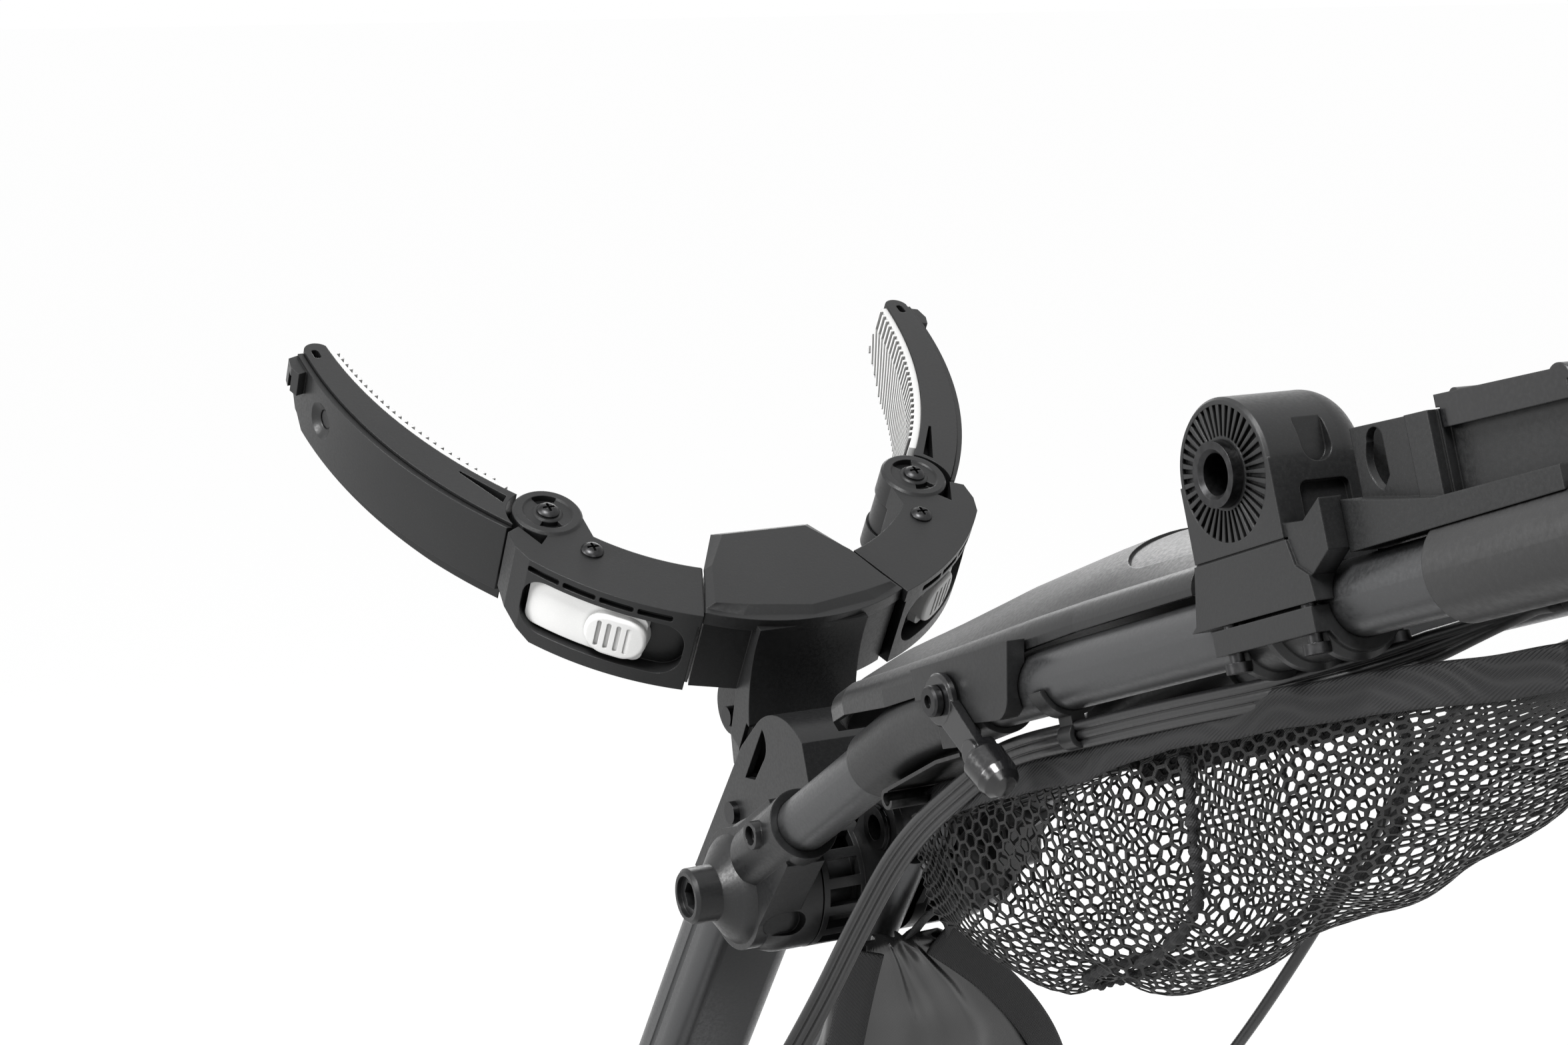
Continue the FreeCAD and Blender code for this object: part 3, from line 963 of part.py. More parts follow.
shaped("side_tube_right", side_tube(), HANDLE)
shaped("side_tube_left", mirrored(side_tube()), HANDLE)
shaped("elbow_right", elbow_sleeve(), HANDLE)
shaped("elbow_left", mirrored(elbow_sleeve()), HANDLE)
socket_tube = pipe(STRUT_PATH, TUBE + 0.06, STRUT_BENDS[:1])
socket_tube.Placement = HUB.inverse().multiply(HANDLE)
socket_right = side_socket().cut(socket_tube)
shaped("side_socket_right", socket_right, HUB)
shaped("side_socket_left", mirrored(socket_right), HUB)
shaped("hood", hood(), HANDLE)
clamp_upper, clamp_lower, mount_middle, mount_up = mount_blocks()
shaped("accessory_mount", clamp_upper, HANDLE)
shaped("mount_clamp", clamp_lower, HANDLE)
shaped("threaded_insert", threaded_insert(mount_middle, mount_up), HANDLE)
clamp_screws = [fused(rod((x, -y, -15.5), (x, -y, 14.5), 2.5), rod((x, -y, -15.5), (x, -y, -12), 4.4))
                for x in (-76.2, -44.2) for y in (291, 334)]
shaped("clamp_screws", group(*clamp_screws), HANDLE)
shaped("console_tray", console_tray(), HANDLE)
shaped("console_lid", console_lid(), HANDLE)
shaped("handle_bow", handle_bow(), HANDLE)
shaped("handle_grip", handle_grip(), HANDLE)
shaped("brake_bracket", brake_bracket(), HANDLE)
brake_lever()
keep("brake_lever_pin", cylinder("brake_lever_pin", "Sizes.lever_pin", "Sizes.lever_pin_length", (0, *LEVER_PIN), X_AXIS,
                                 HANDLE))
shaped("lock_lever", lock_lever(), HANDLE)
lever_bolt = fused(rod((-85.5, -PIVOT_S, PIVOT_T), (-75.8, -PIVOT_S, PIVOT_T), 4.0),
                   turned([(0, 0), (5.4, 0), (6.2, 0.8), (6.2, 3.6), (0, 3.6)], (-86.4, -PIVOT_S, PIVOT_T), (1, 0, 0)))
lever_bolt = lever_bolt.cut(rod((-87, -PIVOT_S, PIVOT_T), (-84.4, -PIVOT_S, PIVOT_T), 2.6))
shaped("lever_bolt", lever_bolt, HANDLE)
shaped("net", net(), HANDLE)
shaped("cable_clip", cable_clip(), HANDLE)
shaped("net_rail", net_rail(), HANDLE)

# ---------------------------------------------------------------- legs, wheels, cables

PIVOT = (size("leg_pivot_forward"), size("leg_pivot_drop"))
REAR_AXLE = (size("rear_axle_back"), -820.0 + size("rear_tyre"))
TRACK = size("rear_half_track")


def leg(side):
    """One rear leg: pivot eye, straight tube and the block that holds the stub axle."""
    eye = rod((side * 62.6, *PIVOT), (side * 90, *PIVOT), 17.5)
    bore = rod((side * 50, *PIVOT), (side * 95, *PIVOT), 8.05)
    foot = (side * 250.0, REAR_AXLE[0], REAR_AXLE[1])
    tube = rod((side * 78.5, *PIVOT), foot, size("leg_radius"))
    block = rod((side * 232, *REAR_AXLE), (side * 262, *REAR_AXLE), 19.0)
    cup = fused(rod((side * 242, *REAR_AXLE), (side * 263.5, *REAR_AXLE), 13.0))
    axle = rod((side * 230, *REAR_AXLE), (side * 330, *REAR_AXLE), size("axle_radius"))
    cap_room = rod((side * 90.1, *PIVOT), (side * 120, *PIVOT), 13.4)
    return fused(tube, eye, block, cup).cut([bore, axle, cap_room])


def wheel_rim(radius, across):
    """Turned rim and hub joined by curved spokes, about its own X axis."""
    half, seat = across / 2.0 - 5, radius - 17.0
    ring = turned([(seat - 9, -half), (seat, -half), (seat - 4, 0, seat, half), (seat - 9, half),
                   (seat - 12, half - 5), (seat - 12, -half + 5)], (0, 0, 0), (1, 0, 0))
    hub_half = across / 2.0 - 2.5
    hub = turned([(size("axle_radius") + 0.06, -hub_half), (16, -hub_half), (22, -hub_half + 8), (22, hub_half - 8),
                  (16, hub_half), (size("axle_radius") + 0.06, hub_half)], (0, 0, 0), (1, 0, 0))
    spokes = []
    for index in range(5):
        middle = (18 + seat - 10) / 2.0
        blade = side_prism([(17, -9), (middle, -16, seat - 9, -13), (seat - 9, 13), (middle, 4, 17, 9)], -7, 7)
        blade.rotate(V(0, 0, 0), X_AXIS, 72 * index)
        spokes.append(blade)
    return fused(ring, hub, *spokes)


def tyre(radius, across):
    """Solid tyre with a crowned tread and two grooves round it."""
    half, seat = across / 2.0, radius - 17.0 + 0.15
    path = [(seat, -half + 5), (seat + 5, -half, radius - 5, -half + 5), (radius, 0, radius - 5, half - 5),
            (seat + 5, half, seat, half - 5), (seat - 4, 0, seat, -half + 5)]
    body = turned(path, (0, 0, 0), (1, 0, 0))
    grooves = [turned([(radius - 3.2, x - 1.2), (radius + 3, x - 1.2), (radius + 3, x + 1.2), (radius - 3.2, x + 1.2)],
                      (0, 0, 0), (1, 0, 0)) for x in (-8, 8)]
    return body.cut(grooves)


def place(base, across, forward, up):
    """Point of a frame, in the trolley's own coordinates."""
    return base.multVec(V(across, forward, up))


def cable(points):
    """Brake cable as one tube of straight runs and tangent arcs."""
    solid = pipe(points, size("cable_across") / 2.0)
    wire = run_wire(points)
    radii = [edge.Curve.Radius for edge in wire.Edges if isinstance(edge.Curve, Part.Circle)]
    ratio = solid.Volume / (math.pi * (size("cable_across") / 2.0) ** 2 * wire.Length)
    print("cable: length %.0f, tightest radius %.1f, volume ratio %.4f" % (wire.Length, min(radii), ratio))
    return solid


shaped("leg_left", leg(-1), TROLLEY)
shaped("leg_right", leg(1), TROLLEY)
shaped("leg_pivot_shaft", group(rod((-94, *PIVOT), (94, *PIVOT), 8.0),
                                *[rod((side * 90.3, *PIVOT), (side * 96, *PIVOT), 13.0).cut(
                                    rod((-99, *PIVOT), (99, *PIVOT), 8.05)) for side in (-1, 1)]), TROLLEY)
stubs = []
for side in (-1, 1):
    stub = rod((side * 233, *REAR_AXLE), (side * 316, *REAR_AXLE), size("axle_radius"))
    stubs.append(fused(stub, rod((side * 314, *REAR_AXLE), (side * 320, *REAR_AXLE), 12.0)))
shaped("rear_axles", group(*stubs), TROLLEY)
for name, radius, centre in (("rear_left", size("rear_tyre"), (-TRACK, *REAR_AXLE)),
                             ("rear_right", size("rear_tyre"), (TRACK, *REAR_AXLE)),
                             ("front", size("front_tyre"), (0, size("front_axle_forward"),
                                                            -820.0 + size("front_tyre")))):
    spot = TROLLEY.multiply(FreeCAD.Placement(V(*centre), FreeCAD.Rotation()))
    shaped("tyre_" + name, tyre(radius, size("tyre_across")), spot)
    shaped("rim_" + name, wheel_rim(radius, size("tyre_across")), spot)

LEFT_CABLE = [place(HANDLE, *point) for point in (
    (-21, -390, -13), (-21, -370, -13), (-42, -330, -21), (-56, -282, -23), (-58.5, -225, -22),
    (-60, -172, -22), (-60, -108, -22), (-60, -84, -28.5))]
LEFT_CABLE += [place(TROLLEY, *point) for point in (
    (-61, -252, -75), (-63, -215, -125), (-66, -185, -172), (-80, -163, -220))]
LEFT_CABLE += [place(SPINE, *point) for point in (
    (-93, -178, 70), (-96, -165, 10), (-96, -142, -48), (-88, -104, -98), (-66, -62, -128), (-52, -44, -148),
    (-52, -44, -168.4))]
RIGHT_CABLE = [place(HANDLE, *point) for point in (
    (21, -390, -13), (21, -370, -13), (44, -332, -21), (62, -288, -24))]
RIGHT_CABLE += [place(TROLLEY, *point) for point in (
    (71, -446, 26), (72, -408, -24), (69, -374, -78), (64, -342, -132), (66, -303, -182), (76, -255, -225),
    (89, -205, -262))]
RIGHT_CABLE += [place(SPINE, *point) for point in (
    (138, -206, 52), (150, -176, 0), (142, -136, -50), (110, -96, -96), (70, -62, -126), (52, -44, -148),
    (52, -44, -168.4))]
shaped("brake_cable_left", cable(LEFT_CABLE))
shaped("brake_cable_right", cable(RIGHT_CABLE))


# ---------------------------------------------------------------- check and write

doc.recompute()
for item in doc.Objects:
    if "Invalid" in item.State or "Error" in item.State:
        raise RuntimeError("failed object: " + item.Label)
os.makedirs("parts", exist_ok=True)
for label, item in pieces.items():
    if item.Shape.isNull() or not item.Shape.isValid():
        raise RuntimeError("bad shape: " + label)
    item.Shape.exportStep("parts/%s.step" % label)
print("wrote", len(pieces), "pieces")
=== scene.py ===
"""Looks of a golf push trolley, built around its packed construction.

Lengths are metres in the trolley's own frame: +Z up, +Y towards the front wheel and the origin on the ground.
Each sub-assembly is a class that builds and dresses its own pieces; the rigid ones are dressed from the record.
"""
from __future__ import annotations

import json
import logging
import math
from collections.abc import Callable, Sequence
from dataclasses import astuple, dataclass
from enum import Enum

import bmesh
import bpy
from mathutils import Matrix, Vector, noise


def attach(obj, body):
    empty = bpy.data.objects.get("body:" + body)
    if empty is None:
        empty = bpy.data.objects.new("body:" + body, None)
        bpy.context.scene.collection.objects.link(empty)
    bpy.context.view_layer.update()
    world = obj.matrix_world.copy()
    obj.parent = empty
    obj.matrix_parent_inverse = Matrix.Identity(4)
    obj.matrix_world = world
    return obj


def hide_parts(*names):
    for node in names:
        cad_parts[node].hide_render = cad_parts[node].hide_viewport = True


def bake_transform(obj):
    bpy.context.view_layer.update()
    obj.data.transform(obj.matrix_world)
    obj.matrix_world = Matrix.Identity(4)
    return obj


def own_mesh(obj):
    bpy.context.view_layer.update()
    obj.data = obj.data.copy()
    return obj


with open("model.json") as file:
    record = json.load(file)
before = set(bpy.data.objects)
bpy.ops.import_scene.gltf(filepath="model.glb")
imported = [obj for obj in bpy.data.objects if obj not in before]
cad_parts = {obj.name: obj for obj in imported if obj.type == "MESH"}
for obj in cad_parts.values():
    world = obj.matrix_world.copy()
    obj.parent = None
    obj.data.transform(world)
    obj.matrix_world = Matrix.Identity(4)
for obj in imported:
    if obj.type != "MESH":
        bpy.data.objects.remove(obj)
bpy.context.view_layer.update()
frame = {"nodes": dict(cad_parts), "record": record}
LOG = logging.getLogger("trolley")
MM = 0.001
# Middle of the upper cradle, in millimetres: most of the trolley is drawn from it.
CENTRE = Vector((0.0, 96.0, 820.0))
# ShaderNodeMix keeps one socket of each name for every data type, so colours are set by number.
MIX_FACTOR, MIX_A, MIX_B, MIX_RESULT = 0, 6, 7, 2


def placed(name: str, data: bpy.types.ID) -> bpy.types.Object:
    """Put data in the scene as an object of its own.

    Args:
        name: The object's name.
        data: Its mesh, curve, light or camera.

    Returns:
        The new object.
    """
    piece = bpy.data.objects.new(name, data)
    bpy.context.scene.collection.objects.link(piece)
    return piece


# ---------------- shader bench

@dataclass
class Wire:
    """A shader value that can stand in a sum: a node's output and the bench it belongs to."""

    bench: "Bench"
    socket: bpy.types.NodeSocket

    def _with(self, operation: str, *values: "Wire | float") -> "Wire":
        """Join this value and others in one Math node."""
        return self.bench.node("ShaderNodeMath", {"operation": operation}, dict(enumerate(values)))

    def __add__(self, other: "Wire | float") -> "Wire":
        """Sum of two values."""
        return self._with("ADD", self, other)

    def __mul__(self, other: "Wire | float") -> "Wire":
        """Product of two values."""
        return self._with("MULTIPLY", self, other)

    def sine(self) -> "Wire":
        """Sine of this value."""
        return self._with("SINE", self)

    def most(self, other: "Wire | float") -> "Wire":
        """The larger of two values."""
        return self._with("MAXIMUM", self, other)


class Bench:
    """The node tree of one material or world, with short ways to lay and join its nodes."""

    def __init__(self, holder: "bpy.types.Material | bpy.types.World") -> None:
        """Clear the holder's node tree.

        Args:
            holder: The new material or world.
        """
        self.holder = holder
        holder.use_nodes = True
        self.tree = holder.node_tree
        self.tree.nodes.clear()

    def node(self, kind: str, settings: dict | None = None, values: dict | None = None, out: int | str = 0) -> Wire:
        """Add a node, set its options first and then its sockets.

        Args:
            kind: The node's type.
            settings: Attributes of the node.
            values: Socket name or number to a number, a colour or a Wire.
            out: Which output to give back.

        Returns:
            The chosen output.
        """
        made = self.tree.nodes.new(kind)
        for key, value in (settings or {}).items():
            setattr(made, key, value)
        for key, value in (values or {}).items():
            if isinstance(value, Wire):
                self.tree.links.new(value.socket, made.inputs[key])
            else:
                made.inputs[key].default_value = value
        return Wire(self, made.outputs[out])

    def noise(self, place: Wire, scale: float, detail: float) -> Wire:
        """Noise from 0 to 1; the scale is features per metre."""
        return self.node("ShaderNodeTexNoise", {}, {"Vector": place, "Scale": scale, "Detail": detail})

    def ramp(self, value: Wire, low: float, high: float, at_low: float = 0.0, at_high: float = 1.0) -> Wire:
        """Remap a value between two edges, clamped."""
        return self.node("ShaderNodeMapRange", {"clamp": True}, {
            "Value": value, "From Min": low, "From Max": high, "To Min": at_low, "To Max": at_high})

    def tint(self, share: "Wire | float", first: "Wire | Sequence[float]", second: "Wire | Sequence[float]") -> Wire:
        """Blend two colours, each a value or another node's."""
        low, high = (end if isinstance(end, Wire) else (*end, 1) for end in (first, second))
        return self.node("ShaderNodeMix", {"data_type": "RGBA"}, {MIX_FACTOR: share, MIX_A: low, MIX_B: high},
                         out=MIX_RESULT)

    def bump(self, strength: float, distance: float, height: Wire, edge: float = 0.0) -> Wire:
        """Normal of a fine relief, over edges that are rounded off where a radius is given."""
        soft = {"Normal": self.node("ShaderNodeBevel", {"samples": 4}, {"Radius": edge})} if edge else {}
        return self.node("ShaderNodeBump", {}, {"Strength": strength, "Distance": distance, "Height": height, **soft})

    def finish(self, surface: Wire, output: str = "ShaderNodeOutputMaterial") -> bpy.types.ID:
        """Join the surface to an output node.

        Args:
            surface: The finished shader.
            output: The output node's type.

        Returns:
            The material or world.
        """
        out = self.tree.nodes.new(output)
        self.tree.links.new(surface.socket, out.inputs["Surface"])
        return self.holder


# ---------------- finishes

def scaled(colour: Sequence[float], factor: float, lift: float = 0.0) -> tuple[float, ...]:
    """A darker or lighter version of a colour."""
    return tuple(min(1.0, channel * factor + lift) for channel in colour)


@dataclass(frozen=True)
class Surface:
    """What every finish has: a name, a colour and a shader."""

    name: str
    colour: tuple[float, float, float]

    def sockets(self, bench: Bench, place: Wire) -> dict[str, "Wire | float"]:
        """Lay the nodes of this kind of finish.

        Args:
            bench: Where they are laid.
            place: Coordinates of the piece in the trolley's frame.

        Returns:
            The shader's sockets and what each gets.
        """
        raise NotImplementedError

    def material(self) -> bpy.types.Material:
        """Build the node material."""
        bench = Bench(bpy.data.materials.new(self.name))
        place = bench.node("ShaderNodeTexCoord", out="Object")
        return bench.finish(bench.node("ShaderNodeBsdfPrincipled", {}, self.sockets(bench, place)))


@dataclass(frozen=True)
class Moulding(Surface):
    """Moulded or powder-coated surface: one colour, a fine grain, faint clouding, soft edges and painted shade in
    crevices.
    """

    rough: float = 0.42
    grain: float = 0.10
    grain_scale: float = 1500.0
    cloud: float = 0.25
    metallic: float = 0.0
    edge: float = 0.7 * MM
    speckle: float = 0.35
    shine: float = 0.3
    # crevice is how far the painted shade in crevices reaches, and shade is how dark it gets there, as a share of the
    # colour.
    crevice: float = 5.0 * MM
    shade: float = 0.35

    def sockets(self, bench: Bench, place: Wire) -> dict[str, "Wire | float"]:
        """Clouded colour with painted shade that darkens it in crevices, and a grain over rounded edges."""
        cloud = bench.noise(place, 14.0, 3.0)
        speck = bench.noise(place, self.grain_scale, 1.0)
        fine = bench.noise(place, self.grain_scale * 0.45, 2.0)
        share = bench.ramp(cloud, 0.3, 0.7) * self.cloud + bench.ramp(speck, 0.55, 0.75) * self.speckle
        surface = bench.tint(share, scaled(self.colour, 0.86), scaled(self.colour, 1.5, 0.004))
        # Painted shade: ambient occlusion darkens the colour in crevices, down to shade times the colour.
        painted_shade_mask = bench.node("ShaderNodeAmbientOcclusion", {"samples": 6}, {"Distance": self.crevice}, out="AO")
        colour = bench.tint(bench.ramp(painted_shade_mask, 0.35, 0.9), scaled(self.colour, self.shade), surface)
        rough = bench.ramp(fine, 0.35, 0.65, self.rough - 0.05, self.rough + 0.06)
        return {"Base Color": colour, "Roughness": rough, "Metallic": self.metallic, "Specular IOR Level": self.shine,
                "Normal": bench.bump(self.grain, 0.2 * MM, fine, self.edge)}


@dataclass(frozen=True)
class Plating(Surface):
    """Bright or blackened metal under a fine haze."""

    rough: float = 0.28

    def sockets(self, bench: Bench, place: Wire) -> dict[str, "Wire | float"]:
        """Haze in the colour, the polish and the relief."""
        haze = bench.noise(place, 420.0, 3.0)
        colour = bench.tint(bench.ramp(haze, 0.3, 0.7), scaled(self.colour, 0.7), self.colour)
        rough = bench.ramp(haze, 0.3, 0.7, self.rough, self.rough + 0.14)
        return {"Base Color": colour, "Roughness": rough, "Metallic": 1.0,
                "Normal": bench.bump(0.08, 0.1 * MM, haze, 0.3 * MM)}


@dataclass(frozen=True)
class Weave(Surface):
    """Black cloth: crossed threads, faint clouding and, where it is coated, a sheen."""

    thread: float = 0.9 * MM
    rough: float = 0.6
    coat: float = 0.0
    relief: float = 0.5
    shine: float = 0.3

    def sockets(self, bench: Bench, place: Wire) -> dict[str, "Wire | float"]:
        """Warp and weft in the colour and the relief, and clouding in the polish."""
        split = bench.node("ShaderNodeSeparateXYZ", {}, {"Vector": place})
        across, along, up = (Wire(bench, split.socket.node.outputs[index]) for index in range(3))
        turn = 2.0 * math.pi / self.thread
        warp = (across * turn).sine()
        weft = ((along + up) * (turn * 0.75)).sine()
        cloth = warp * weft
        cloud = bench.noise(place, 22.0, 4.0)
        height = cloth * 0.5 + bench.noise(place, 900.0, 2.0) * 0.4
        share = bench.ramp(cloth, -0.6, 0.9) * 0.5 + bench.ramp(cloud, 0.3, 0.7) * 0.4
        colour = bench.tint(share, scaled(self.colour, 0.6), scaled(self.colour, 1.7, 0.003))
        rough = bench.ramp(cloud, 0.3, 0.7, self.rough - 0.08, self.rough + 0.08)
        return {"Base Color": colour, "Roughness": rough, "Normal": bench.bump(self.relief, 0.3 * MM, height),
                "Coat Weight": self.coat, "Coat Roughness": 0.3, "Specular IOR Level": self.shine}


class Finish(Enum):
    """Every finish on the trolley, by the name of its slot in the record."""

    dark_casting = Moulding("dark_casting", (0.012, 0.0122, 0.0126), rough=0.34, grain=0.16)
    anodised_tube = Moulding("anodised_tube", (0.085, 0.086, 0.088), rough=0.34, metallic=0.8, grain=0.03,
                             cloud=0.05, speckle=0.12)
    moulded_charcoal = Moulding("moulded_charcoal", (0.0125, 0.0127, 0.013), rough=0.36, grain=0.16)
    moulded_black = Moulding("moulded_black", (0.007, 0.007, 0.0075), rough=0.2, grain=0.05, shine=0.6)
    light_grey = Moulding("light_grey", (0.76, 0.76, 0.75), rough=0.42, grain=0.05, cloud=0.1, speckle=0.1,
                          crevice=2.5 * MM, shade=0.45)
    pad_rubber = Moulding("pad_rubber", (0.74, 0.74, 0.73), rough=0.6, grain=0.12, cloud=0.15, speckle=0.15,
                          crevice=3.0 * MM, shade=0.12)
    zinc_screw = Plating("zinc_screw", (0.34, 0.34, 0.35))
    black_screw = Plating("black_screw", (0.045, 0.045, 0.046), rough=0.32)
    grip_foam = Moulding("grip_foam", (0.010, 0.010, 0.0102), rough=0.42, grain=0.45, grain_scale=900.0, shine=0.5)
    tyre_black = Moulding("tyre_black", (0.020, 0.020, 0.020), rough=0.72, grain=0.35, grain_scale=500.0)
    cable_black = Moulding("cable_black", (0.012, 0.012, 0.0125), rough=0.34, grain=0.06, shine=0.5)
    net_black = Weave("net_black", (0.007, 0.007, 0.007), thread=0.7 * MM, rough=0.5)
    pouch_black = Weave("pouch_black", (0.007, 0.007, 0.0072), thread=0.8 * MM, rough=0.26, coat=0.6, relief=0.22,
                        shine=0.5)
    rail_black = Plating("rail_black", (0.06, 0.06, 0.06), rough=0.35)
    webbing_black = Weave("webbing_black", (0.013, 0.013, 0.0135), thread=1.1 * MM, rough=0.6, relief=0.9)
    binding_black = Weave("binding_black", (0.010, 0.010, 0.0105), thread=1.3 * MM, rough=0.62, relief=0.8)

    @property
    def slot(self) -> str:
        """The record's slot for this finish: bindings and webbing are part of the bag that they edge."""
        return {"webbing_black": "pouch_black", "binding_black": "net_black"}.get(self.name, self.name)


class Wardrobe:
    """Builds each finish once and puts it on pieces."""

    def __init__(self) -> None:
        """Start with no material built."""
        self._made: dict[Finish, bpy.types.Material] = {}

    def material(self, finish: Finish) -> bpy.types.Material:
        """Give the material of a finish, building it the first time."""
        if finish not in self._made:
            self._made[finish] = finish.value.material()
        return self._made[finish]

    def wear(self, piece: bpy.types.Object, finish: Finish) -> None:
        """Put a finish on a piece, in place of any that it has."""
        piece.data.materials.clear()
        piece.data.materials.append(self.material(finish))

    def dress_frame(self) -> None:
        """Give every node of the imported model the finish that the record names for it."""
        for part in frame["record"]["subparts"]:
            self.wear(frame["nodes"][part["node"]], Finish[part["material_slot"]])


# ---------------- studio

@dataclass(frozen=True)
class Lamp:
    """Square soft lamp: where it hangs beside the cradle, its side in metres and its power in watts."""

    name: str
    place: tuple[float, float, float]
    size: float
    power: float
    aim: tuple[float, float, float] = (0.0, 0.0, 0.0)

    def hang(self) -> None:
        """Hang the lamp and turn it to what it lights."""
        data = bpy.data.lights.new(self.name, "AREA")
        data.shape = "SQUARE"
        data.size = self.size
        data.energy = self.power
        light = placed(self.name, data)
        light.location = CENTRE * MM + Vector(self.place)
        light.rotation_euler = (Vector(self.aim) - Vector(self.place)).to_track_quat("-Z", "Y").to_euler()


LAMPS = (
    Lamp("top", (-0.75, -0.75, 1.5), 0.55, 50.0, aim=(0.0, -0.3, 0.0)),
    Lamp("left", (-1.7, 0.1, 0.55), 0.6, 28.0),
    Lamp("front", (-0.4, -2.2, 0.3), 0.6, 6.0),
    Lamp("far", (0.9, 1.8, 0.9), 0.9, 11.0),
)


@dataclass(frozen=True)
class Studio:
    """Pale floor, soft lamps, and the camera, whose eye is in metres from the cradle's centre."""

    eye: tuple[float, float, float] = (-0.622, -1.219, 0.296)
    yaw: float = math.radians(27.5)
    pitch: float = math.radians(12.0)
    lens: float = 64.745
    floor_size: float = 60.0
    floor_glow: float = 1.13
    glow_share: float = 0.85
    sky_light: float = 0.12

    def camera(self) -> None:
        """Set the scene's camera."""
        data = bpy.data.cameras.new("camera")
        data.lens = self.lens
        data.sensor_width = 36.0
        data.clip_end = 200.0
        camera = placed("camera", data)
        camera.location = CENTRE * MM + Vector(self.eye)
        camera.rotation_euler = (math.pi / 2.0 - self.pitch, 0.0, -self.yaw)
        bpy.context.scene.camera = camera

    @staticmethod
    def _seen(bench: Bench) -> Wire:
        """1 for rays from the camera, and for those that mirror or pass through."""
        paths = bench.node("ShaderNodeLightPath", out="Is Camera Ray")
        outputs = paths.socket.node.outputs
        return paths.most(Wire(bench, outputs["Is Glossy Ray"])).most(Wire(bench, outputs["Is Transmission Ray"]))

    def floor(self) -> None:
        """Lay the floor: nearly white to the eye, and it keeps the trolley's shadow."""
        mesh = bmesh.new()
        bmesh.ops.create_grid(mesh, x_segments=2, y_segments=2, size=self.floor_size / 2)
        data = bpy.data.meshes.new("floor")
        mesh.to_mesh(data)
        mesh.free()
        bench = Bench(bpy.data.materials.new("floor_pale"))
        matt = bench.node("ShaderNodeBsdfPrincipled", {}, {"Base Color": (0.82, 0.82, 0.82, 1), "Roughness": 0.8})
        glow = bench.node("ShaderNodeEmission", {}, {"Color": (1, 1, 1, 1), "Strength": self.floor_glow})
        mixed = bench.node("ShaderNodeMixShader", {}, {0: self._seen(bench) * self.glow_share, 1: matt, 2: glow})
        data.materials.append(bench.finish(mixed))
        placed("floor", data)

    def sky(self) -> None:
        """White where it is seen, dimmer where it only lights."""
        world = bpy.data.worlds.new("sky")
        bpy.context.scene.world = world
        bench = Bench(world)
        strength = self._seen(bench) * (1.0 - self.sky_light) + self.sky_light
        back = bench.node("ShaderNodeBackground", {}, {"Color": (1, 1, 1, 1), "Strength": strength})
        bench.finish(back, "ShaderNodeOutputWorld")

    def build(self) -> None:
        """Set floor, sky, lamps and camera."""
        self.camera()
        self.floor()
        self.sky()
        for lamp in LAMPS:
            lamp.hang()
        bpy.context.scene.view_settings.view_transform = "Standard"


# ---------------- shapes

@dataclass(frozen=True)
class Datum:
    """A place and three directions that a sub-assembly is drawn in, in millimetres."""

    origin: tuple[float, float, float]
    lean: float

    def at(self, across: float, along: float, up: float) -> Vector:
        """Turn local millimetres into metres of the trolley's frame.

        Args:
            across: Towards the right.
            along: Local +Y.
            up: Local +Z.

        Returns:
            The point in metres.
        """
        return (Matrix.Rotation(self.lean, 3, "X") @ Vector((across, along, up)) + Vector(self.origin)) * MM

    def way(self, across: float, along: float, up: float) -> Vector:
        """Turn a local direction into one of the trolley's frame."""
        return (Matrix.Rotation(self.lean, 3, "X") @ Vector((across, along, up))).normalized()


def datum(forward: float, up: float, lean_degrees: float) -> Datum:
    """Make a datum from its place beside the cradle's centre and its lean about X."""
    return Datum((0.0, CENTRE[1] + forward, CENTRE[2] + up), math.radians(lean_degrees))


TROLLEY = datum(0.0, 0.0, 0.0)
SPINE = datum(43.6, -240.0, 32.5)
HANDLE = datum(-218.3, -37.5, -21.6)
CRADLE = datum(0.0, 0.0, 27.6)


def linked(name: str, mesh: bmesh.types.BMesh, smooth: bool = True) -> bpy.types.Object:
    """Store a bmesh as a new object and free it.

    Args:
        name: The piece's name.
        mesh: The finished bmesh.
        smooth: Whether faces are shaded smooth.

    Returns:
        The new object.
    """
    bmesh.ops.recalc_face_normals(mesh, faces=mesh.faces)
    for face in mesh.faces:
        face.smooth = smooth
    data = bpy.data.meshes.new(name)
    mesh.to_mesh(data)
    mesh.free()
    return placed(name, data)


def joined_rings(mesh: bmesh.types.BMesh, rings: Sequence[Sequence[Vector]]) -> bmesh.types.BMesh:
    """Skin a row of rings, one to the next, and close both ends.

    Args:
        mesh: Where the skin is added.
        rings: The points of each ring, as many in each.

    Returns:
        The same mesh.
    """
    rows = [[mesh.verts.new(point) for point in ring] for ring in rings]
    for low, high in zip(rows, rows[1:]):
        for step in range(len(low)):
            mesh.faces.new((low[step], low[step - 1], high[step - 1], high[step]))
    mesh.faces.new(rows[0])
    mesh.faces.new(rows[-1])
    return mesh


